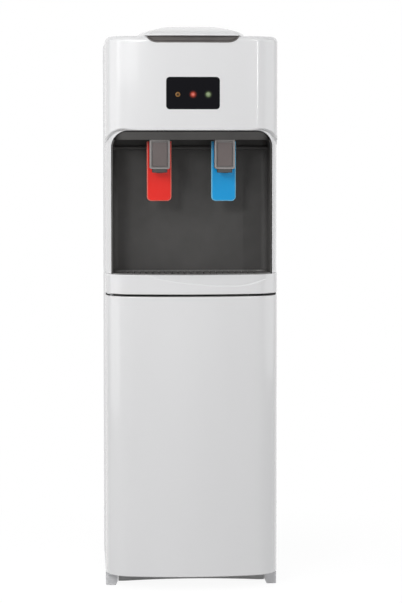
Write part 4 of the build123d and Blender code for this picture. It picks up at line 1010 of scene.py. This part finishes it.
class COOLER_OT_tray(bpy.types.Operator):
    """Drip tray with a rounded rim, and the slotted grille that lies in it"""

    bl_idname = "cooler.tray"
    bl_label = "Drip Tray"

    def execute(self, context):
        s = sizes()
        bottom, top = low("drip_tray").z, high("drip_tray").z
        seat, grille_top = low("drip_grille").z, high("drip_grille").z
        floor, under_rim, rim, shelf = 0.0018, 0.0017, 0.0035, 0.0016
        rim_low = top - 0.007
        rings = [(under_rim + drawn, z) for drawn, z in rounded_ends(bottom, rim_low, 0.0015, 0.0, 3)]
        rings += rounded_ends(rim_low, top, 0.0004, 0.0012, 4)
        tray = loft("drip tray", [flat(tray_plan(drawn), z) for drawn, z in rings])
        cut(tray, prism_z("rim", tray_plan(rim), seat, top + OVER),
            prism_z("pan", tray_plan(rim + shelf), bottom + floor, top + OVER))
        tidy(tray, bevel=0.0003)
        place(tray, "drip_tray", "dark_plastic", "tray", "drip_tray")

        gap, border = 0.0004, 0.012
        grille = loft("drip grille", [flat(tray_plan(rim + gap + drawn), z)
                                      for drawn, z in rounded_ends(seat, grille_top, 0.0, 0.0006, 3)])
        rear = high("drip_grille").y - border
        count = int((high("drip_grille").x - border) // s.slot_pitch)
        half_slot = s.slot_width / 2
        slots = []
        for x in [index * s.slot_pitch for index in range(-count, count + 1)]:
            near = front_depth(x) + (low("drip_grille").y - FRONT) + border
            outline = rectangle(x - half_slot, x + half_slot, near, rear, half_slot - 0.0001, 4)
            slots.append(prism_z("slot", outline, seat - OVER, grille_top + OVER))
        cut(grille, merge("slots", slots))
        tidy(grille, bevel=0.0003)
        place(grille, "drip_grille", "dark_plastic", "tray", "drip_grille")
        return {"FINISHED"}


# ---------- taps and paddles ----------
def tap_points(x, inset):
    """Front-view outline of a tap: square under the ceiling, round at its lower corners."""
    a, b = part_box("cold_tap_body")
    half = (b.x - a.x) / 2 - inset
    bottom, top = a.z + inset, CEILING - inset
    radius = max(0.004 - 0.6 * inset, 0.001)
    return round_corners([(x - half, bottom, radius), (x + half, bottom, radius),
                          (x + half, top, 0), (x - half, top, 0)])


def tap_housing(name, x):
    """Tap housing with a rounded rim and a sink for its face; the rim's brightness is partly a painted highlight, as
    the housing is painted lighter than its face.
    """
    near, far = low(f"{name}_tap_body").y, high(f"{name}_tap_body").y
    rim, groove, sink, square = 0.0012, 0.0024, 0.0045, 0.02
    points = tap_points(x, 0)
    rings = []
    for drawn, y in rounded_ends(near, far, rim, 0.0, 4):
        rings.append([Vector((px + math.copysign(drawn, x - px), y, pz + drawn if pz < CEILING - square else pz))
                      for px, pz in points])
    body = loft(f"{name} tap", rings)
    cut(body, prism_y("sink", tap_points(x, TAP_BORDER - groove), near - OVER, near + sink))
    spigot = circle(x, middle(f"{name}_tap_body").y, 0.006)
    fuse(body, prism_z("spigot", spigot, CEILING - 2 * OVER, high(f"{name}_tap_body").z))
    tidy(body, bevel=0.0003)
    place(body, "cabinet", "tap_plastic", "tap", f"{name}_tap_body")

    rings = [upright(tap_points(x, TAP_BORDER + drawn), y)
             for drawn, y in rounded_ends(low(f"{name}_tap_face").y, near + sink, 0.0005, 0.0, 3)]
    face = tidy(loft(f"{name} tap face", rings))
    place(face, "cabinet", "tap_plastic", "tap_face", f"{name}_tap_face")


def tap_nozzle(name, x):
    """Nozzle under a tap: a rounded block with a bored spout."""
    a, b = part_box(f"{name}_tap_nozzle")
    y = (a.y + b.y) / 2
    block_low = b.z - 0.0062
    spout, bore = 0.007, 0.0045
    nozzle = loft(f"{name} nozzle", [
        flat(rectangle(a.x + drawn, b.x - drawn, a.y + drawn, b.y - drawn, 0.004), z)
        for drawn, z in rounded_ends(block_low, b.z, 0.0012, 0.0, 4)])
    fuse(nozzle, loft("spout", [flat(circle(x, y, spout - drawn, 40), z)
                                for drawn, z in rounded_ends(a.z, block_low + 2 * OVER, 0.0008, 0.0, 3)]))
    cut(nozzle, prism_z("bore", circle(x, y, bore), a.z - OVER, b.z - OVER))
    tidy(nozzle)
    place(nozzle, "cabinet", "dark_plastic", "niche", f"{name}_tap_nozzle")


class COOLER_OT_taps(bpy.types.Operator):
    """Hot and cold tap housings, their faces and nozzles"""

    bl_idname = "cooler.taps"
    bl_label = "Taps"

    def execute(self, context):
        for name, x in (("hot", -TAP_X), ("cold", TAP_X)):
            tap_housing(name, x)
            tap_nozzle(name, x)
        return {"FINISHED"}


def pin_bore(pin, reach):
    """Tool for the hole that a hinge pin stands in."""
    return prism_x("bore", circle(pin.y, pin.z, 0.00156, 24), pin.x - reach, pin.x + reach)


def push_paddle(name, slot):
    """Push paddle: a rounded plate with two ears on the pin."""
    a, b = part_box(f"{name}_paddle")
    pin = middle(f"{name}_paddle_pin")
    thickness, front_round, back_round = 0.004, 0.003, 0.0007
    far = a.y + thickness

    def outline(inset):
        lower, upper = 0.008 - 0.5 * inset, 0.0015
        return round_corners([(a.x + inset, a.z + inset, lower), (b.x - inset, a.z + inset, lower),
                              (b.x - inset, b.z - inset, upper), (a.x + inset, b.z - inset, upper)], 8)

    plate = loft(f"{name} paddle", [upright(outline(drawn), y)
                                    for drawn, y in rounded_ends(a.y, far, front_round, back_round, 6)])
    radius, ear_in, ear_out, ear_foot = 0.005, 0.008, 0.011, 0.014
    profile = [(far - OVER, pin.z - ear_foot)]
    profile += [(pin.y + radius * math.sin(turn), pin.z - radius * math.cos(turn)) for turn in sweep(math.pi, 12)]
    profile += [(far - OVER, pin.z + radius)]
    fuse(plate, *[prism_x("ear", profile, pin.x + side * ear_in, pin.x + side * ear_out) for side in (-1, 1)])
    cut(plate, pin_bore(pin, 2 * CLEAR))
    tidy(plate)
    place(plate, f"{name}_paddle", slot, name, f"{name}_paddle")


class COOLER_OT_paddles(bpy.types.Operator):
    """Red and blue push paddles"""

    bl_idname = "cooler.paddles"
    bl_label = "Paddles"

    def execute(self, context):
        push_paddle("hot", "red_plastic")
        push_paddle("cold", "blue_plastic")
        return {"FINISHED"}


# ---------- lamps ----------
class COOLER_OT_window(bpy.types.Operator):
    """Black lamp window and its three domed lamps"""

    bl_idname = "cooler.window"
    bl_label = "Lamp Window"

    def execute(self, context):
        a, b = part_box("indicator_lens")
        sunk, thickness, hole, dome = 0.0001, 0.0018, 0.0045, 0.0044
        shape = ((0.12, 0.0), (0.45, 0.00012), (0.72, 0.0004), (0.9, 0.0009), (1.0, 0.0018))
        pane = prism_y("lamp window", lens_points(0), FRONT - 0.002, FRONT + 0.008)
        front = bow_block("front", sunk, a.z - CLEAR, b.z + CLEAR)
        rear = bow_block("rear", thickness, a.z - CLEAR - OVER, b.z + CLEAR + OVER, back=SEAM + OVER)
        keep(pane, cut(front, rear))
        for colour in ("amber", "red", "green"):
            centre = middle(f"{colour}_led")
            cut(pane, prism_y("hole", circle(centre.x, centre.z, hole), FRONT - CLEAR, FRONT + CLEAR))
            near, far = low(f"{colour}_led").y, high(f"{colour}_led").y
            rings = [upright(circle(centre.x, centre.z, dome * share, 40), near + depth) for share, depth in shape]
            rings.append(upright(circle(centre.x, centre.z, dome, 40), far))
            lamp = tidy(loft(f"{colour} lamp", rings))
            place(lamp, "cabinet", f"{colour}_lamp", colour, f"{colour}_led")
        tidy(pane, bevel=0.0003)
        follow_bow(pane, sunk)
        place(pane, "cabinet", "black_gloss", "lens", "indicator_lens")
        return {"FINISHED"}


# ---------- top and lid ----------
def lid_ring(scale, inset):
    """Plan outline of the lid, shrunk by a scale and an inset."""
    centre_y = -0.06
    steps = 16

    def spot(x, y):
        return x * scale - inset, y * scale + math.copysign(inset, -y)

    front = (FRONT + 0.001 - centre_y) * scale + inset
    front_x, front_y = spot(0.083, FRONT + 0.0075 - centre_y)
    rear_x, rear_y = spot(0.074, 0.1)
    wide, wide_y = 0.097 * scale - inset, -0.012 * scale
    back = 0.12 * scale - inset
    points = arc_through((-front_x, front_y), (0, front), (front_x, front_y), steps)
    points += arc_through((front_x, front_y), (wide, wide_y), (rear_x, rear_y), steps)[1:]
    points += arc_through((rear_x, rear_y), (0, back), (-rear_x, rear_y), steps)[1:]
    points += arc_through((-rear_x, rear_y), (-wide, wide_y), (-front_x, front_y), steps)[1:-1]
    return [(x, y + centre_y) for x, y in points]


def dome_rings(inset, drop, bottom, rise):
    """Rings of the lid's dome; a drop lowers all but the first."""
    guides = [(1.0, 0.0), (0.994, 0.12), (0.985, 0.22), (0.93, 0.42), (0.84, 0.58), (0.7, 0.78), (0.6, 0.9), (0.5, 1.0)]
    return [flat(lid_ring(scale, inset), bottom + share * rise - (drop if share else 0))
            for scale, share in smooth_line(guides, 3)]


class COOLER_OT_lid(bpy.types.Operator):
    """Domed lid, hollow below, with its hinge knuckle"""

    bl_idname = "cooler.lid"
    bl_label = "Lid"

    def execute(self, context):
        a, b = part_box("lid")
        pin = middle("lid_hinge_pin")
        rise = b.z - a.z
        wall, arm, barrel = 0.0025, 0.03, 0.004
        shell = loft("lid", dome_rings(0, 0, a.z, rise))
        cut(shell, loft("hollow", [flat(lid_ring(1.0, wall), a.z - 0.004)] + dome_rings(wall, wall, a.z, rise)[1:]))
        fuse(shell, prism_z("arm", rectangle(-arm, arm, 0.052, pin.y), pin.z - barrel, pin.z + barrel / 2),
             prism_x("barrel", circle(pin.y, pin.z, barrel), -arm, arm))
        cut(shell, pin_bore(pin, 5 * CLEAR), prism_z("under", rectangle(-0.2, 0.2, -0.25, 0.2), a.z - 2 * CLEAR, a.z))
        tidy(shell)
        place(shell, "lid", "white_plastic", "cover", "lid")
        return {"FINISHED"}


class COOLER_OT_top(bpy.types.Operator):
    """Top cover with rounded edges, a sunk well and the lid's lugs"""

    bl_idname = "cooler.top"
    bl_label = "Top Cover"

    def execute(self, context):
        s = sizes()
        a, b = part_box("top_cover")
        rear_round, skirt_gap, edge = 0.0061, 0.0003, 0.0005
        well_depth, well_wall, neck = 0.013, 0.0025, 0.0344

        def plan(inset):
            half, far = HALF - inset, b.y - inset
            return round_corners([(-half, a.y, 0), (half, a.y, 0), (half, far, rear_round),
                                  (-half, far, rear_round)], 8)

        def well(inset):
            half, near, far, radius = 0.06 - inset, inset - 0.094, 0.026 - inset, 0.014 - inset
            return rectangle(-half, half, near, far, radius, 8)

        skirt = high("left_side_panel").z + skirt_gap
        well_low = BODY_TOP - well_depth
        cover = loft("top cover", [flat(plan(drawn), z)
                                   for drawn, z in rounded_ends(skirt, BODY_TOP, edge, s.top_round, 7)])
        cut(cover, prism_z("hollow", rectangle(s.wall - HALF, HALF - s.wall, a.y + s.wall, b.y - s.wall), a.z - OVER,
                           BODY_TOP - s.wall))
        fuse(cover, prism_z("well", well(0), well_low - well_wall, BODY_TOP - OVER))
        cut(cover, prism_z("pit", well(well_wall), well_low, BODY_TOP + OVER),
            prism_z("neck", circle(0, middle("reservoir").y, neck, 48), a.z - 4 * CLEAR, BODY_TOP))
        pin = middle("lid_hinge_pin")
        radius, lug_in, lug_out, lug_foot = 0.004, 0.0305, 0.0365, 0.004
        profile = [(pin.y - radius, BODY_TOP - OVER)]
        profile += [(pin.y - radius * math.cos(turn), pin.z + radius * math.sin(turn)) for turn in sweep(math.pi, 12)]
        profile += [(pin.y + radius + lug_foot, BODY_TOP - OVER)]
        for side in (-1, 1):
            fuse(cover, prism_x("lug", profile, side * lug_in, side * lug_out))
        tidy(cover)
        place(cover, "cabinet", "white_plastic", "cover", "top_cover")
        return {"FINISHED"}


# ---------- back ----------
def screw_head(x, z, face):
    """Domed head with a cross recess, standing on a face that looks back."""
    radius, rise, sunk = 0.0042, 0.0022, 0.0003
    arm, width, recess = 0.0022, 0.0004, 0.0008
    rings = [upright(circle(x, z, radius, 24), face - sunk)]
    rings += [upright(circle(x, z, radius * math.cos(turn), 24), face + rise * math.sin(turn))
              for turn in sweep(math.pi / 2, 6)[:-1]]
    head = loft("head", rings)
    for half_x, half_z in ((arm, width), (width, arm)):
        slot = rectangle(x - half_x, x + half_x, z - half_z, z + half_z)
        cut(head, prism_y("recess", slot, face + recess, face + CLEAR))
    return head


class COOLER_OT_screws(bpy.types.Operator):
    """Screws round the rear panel"""

    bl_idname = "cooler.screws"
    bl_label = "Rear Screws"

    def execute(self, context):
        a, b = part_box("rear_panel")
        edge, end, upper_x, upper_edge = 0.006, 0.03, 0.06, 0.008
        places = [(side * (b.x - edge), a.z + end + height) for side in (-1, 1)
                  for height in sweep(b.z - a.z - 2 * end, 4)]
        places += [(side * upper_x, b.z - upper_edge) for side in (-1, 1)]
        screws = tidy(merge("panel screws", [screw_head(x, z, b.y) for x, z in places]))
        place(screws, "cabinet", "plain_steel", "steel")
        return {"FINISHED"}


# ---------- stage ----------
def add_lamp(name, place_at, target, width, height, power, shine):
    """White box lamp; one that doesn't shine leaves no image in glossy surfaces."""
    data = bpy.data.lights.new(name, "AREA")
    data.shape = "RECTANGLE"
    data.size, data.size_y = width, height
    data.energy = power
    obj = bpy.data.objects.new(name, data)
    bpy.context.scene.collection.objects.link(obj)
    obj.location = place_at
    obj.rotation_euler = (Vector(target) - Vector(place_at)).to_track_quat("-Z", "Y").to_euler()
    obj.visible_glossy = shine


def seen_directly(tree):
    """One for rays from the camera, off glossy surfaces or through clear ones."""
    path = tree.nodes.new("ShaderNodeLightPath")
    total = path.outputs["Is Camera Ray"]
    for name in ("Is Glossy Ray", "Is Transmission Ray"):
        node = tree.nodes.new("ShaderNodeMath")
        node.operation = "MAXIMUM"
        tree.links.new(total, node.inputs[0])
        tree.links.new(path.outputs[name], node.inputs[1])
        total = node.outputs[0]
    return total


def floor_finish():
    """Pale floor that fades into the white surroundings away from the cooler."""
    finish = Finish("pale floor", (0.12, 0.12, 0.12), 0.9, specular=0.0)
    finish.tint(finish.spread(finish.noise(3.0, 2.0), 0.0, 1.0), (0.118, 0.118, 0.118))

    def shader(kind, colour, strength=None):
        node = finish.add(kind)
        node.inputs["Color"].default_value = (colour, colour, colour, 1)
        if strength:
            node.inputs["Strength"].default_value = strength
        return node.outputs[0]

    def blend(factor, first, second):
        node = finish.add("ShaderNodeMixShader")
        for socket, source in zip(node.inputs, (factor, first, second)):
            finish.link(source, socket)
        return node.outputs[0]

    glowing = finish.add("ShaderNodeAddShader")
    finish.link(finish.shader.outputs[0], glowing.inputs[0])
    finish.link(shader("ShaderNodeEmission", 1, 0.93), glowing.inputs[1])
    distance = finish.add("ShaderNodeVectorMath", operation="LENGTH")
    finish.link(finish.place, distance.inputs[0])
    far = finish.spread(distance.outputs["Value"], 0.0, 1.0, 0.3, 0.75)
    seen = blend(far, glowing.outputs[0], shader("ShaderNodeEmission", 1))
    whole = blend(seen_directly(finish.tree), shader("ShaderNodeBsdfDiffuse", 0.5), seen)
    finish.link(whole, finish.tree.nodes["Material Output"].inputs["Surface"])
    return finish.material


def studio_world():
    """Dim light from all round that looks white to the camera and in glossy surfaces."""
    world = bpy.data.worlds.new("studio")
    world.use_nodes = True
    tree = world.node_tree
    mix = tree.nodes.new("ShaderNodeMix")
    mix.data_type = "RGBA"
    mix.inputs["A"].default_value = (0.26, 0.26, 0.265, 1)
    mix.inputs["B"].default_value = (1, 1, 1, 1)
    tree.links.new(seen_directly(tree), mix.inputs["Factor"])
    tree.links.new(mix.outputs["Result"], tree.nodes["Background"].inputs["Color"])
    return world


class COOLER_OT_stage(bpy.types.Operator):
    """Pale floor, studio lamps, white surroundings and the camera"""

    bl_idname = "cooler.stage"
    bl_label = "Stage"

    def execute(self, context):
        scene = context.scene
        stage = scene.cooler_stage
        build = bmesh.new()
        corners = [(-12, -8), (12, -8), (12, 14), (-12, 14)]
        build.faces.new([build.verts.new((x, y, -0.0003)) for x, y in corners])
        floor = add_object("floor", build)
        if floor.data.polygons[0].normal.z < 0:
            floor.data.flip_normals()
        floor.data.materials.append(floor_finish())
        scene.world = studio_world()

        for lamp in (
                ("key lamp", (-1.1, -2.75, 1.65), (0, -0.1, 0.55), 0.6, 0.6, stage.key_power, True),
                ("left lamp", (-1.87, -1.9, 1.8), (0, -0.1, 1.6), 2.6, 1.7, stage.left_power, True),
                ("right lamp", (1.9, -2.0, 0.5), (0, -0.1, 0.5), 1.4, 1.2, stage.right_power, False),
                ("front lamp", (0.3, -4.6, 0.25), (0, -0.1, 0.6), 1.6, 0.9, stage.front_power, False),
                ("far left lamp", (-2.4, -0.3, 0.9), (0, -0.1, 0.6), 2.2, 1.8, stage.side_power, True),
                ("far right lamp", (2.3, -0.1, 1.1), (0, -0.1, 0.7), 2.2, 2.0, stage.side_power, True),
                ("top lamp", (-0.7, -1.0, 3.0), (0, -0.1, 1.0), 1.2, 1.2, stage.top_power, False),
                ("strip lamp", (1.2, -1.95, 1.65), (0.1, -0.15, 0.9), 0.04, 1.7, stage.strip_power, True)):
            add_lamp(*lamp)

        camera = bpy.data.cameras.new("camera")
        camera.sensor_width = 36.0
        camera.lens = stage.lens
        camera.clip_start = 0.05
        camera.shift_y = stage.shift
        obj = bpy.data.objects.new("camera", camera)
        scene.collection.objects.link(obj)
        obj.location = (-stage.distance * math.sin(stage.azimuth),
                        FRONT - stage.distance * math.cos(stage.azimuth), stage.eye_height)
        obj.rotation_euler = (math.pi / 2 - stage.pitch, 0, -stage.azimuth - stage.yaw)
        scene.camera = obj
        scene.view_settings.view_transform = "Standard"
        return {"FINISHED"}


# ---------- panel ----------
STEPS = [
    COOLER_OT_finishes, COOLER_OT_fascia, COOLER_OT_door, COOLER_OT_apron, COOLER_OT_grip, COOLER_OT_niche,
    COOLER_OT_tray, COOLER_OT_taps, COOLER_OT_paddles, COOLER_OT_window, COOLER_OT_lid, COOLER_OT_top,
    COOLER_OT_screws, COOLER_OT_stage,
]


class COOLER_PT_panel(bpy.types.Panel):
    """Lists the cooler's settings and building steps"""

    bl_idname = "COOLER_PT_panel"
    bl_label = "Water Cooler"
    bl_space_type = "VIEW_3D"
    bl_region_type = "UI"
    bl_category = "Cooler"

    def draw(self, context):
        layout = self.layout
        scene = context.scene
        for group in (scene.cooler_sizes, scene.cooler_colours, scene.cooler_stage):
            box = layout.box()
            for name in group.bl_rna.properties.keys():
                if name not in ("rna_type", "name"):
                    box.prop(group, name)
        for step in STEPS:
            layout.operator(step.bl_idname)


GROUPS = {"cooler_sizes": CoolerSizes, "cooler_colours": CoolerColours, "cooler_stage": CoolerStage}


def register():
    for cls in (*GROUPS.values(), *STEPS, COOLER_PT_panel):
        bpy.utils.register_class(cls)
    for name, group in GROUPS.items():
        setattr(bpy.types.Scene, name, bpy.props.PointerProperty(type=group))


def unregister():
    for name in GROUPS:
        delattr(bpy.types.Scene, name)
    for cls in (COOLER_PT_panel, *reversed(STEPS), *GROUPS.values()):
        bpy.utils.unregister_class(cls)


def main():
    register()
    for step in STEPS:
        group, name = step.bl_idname.split(".")
        getattr(getattr(bpy.ops, group), name)()


if __name__ == "__main__":
    main()
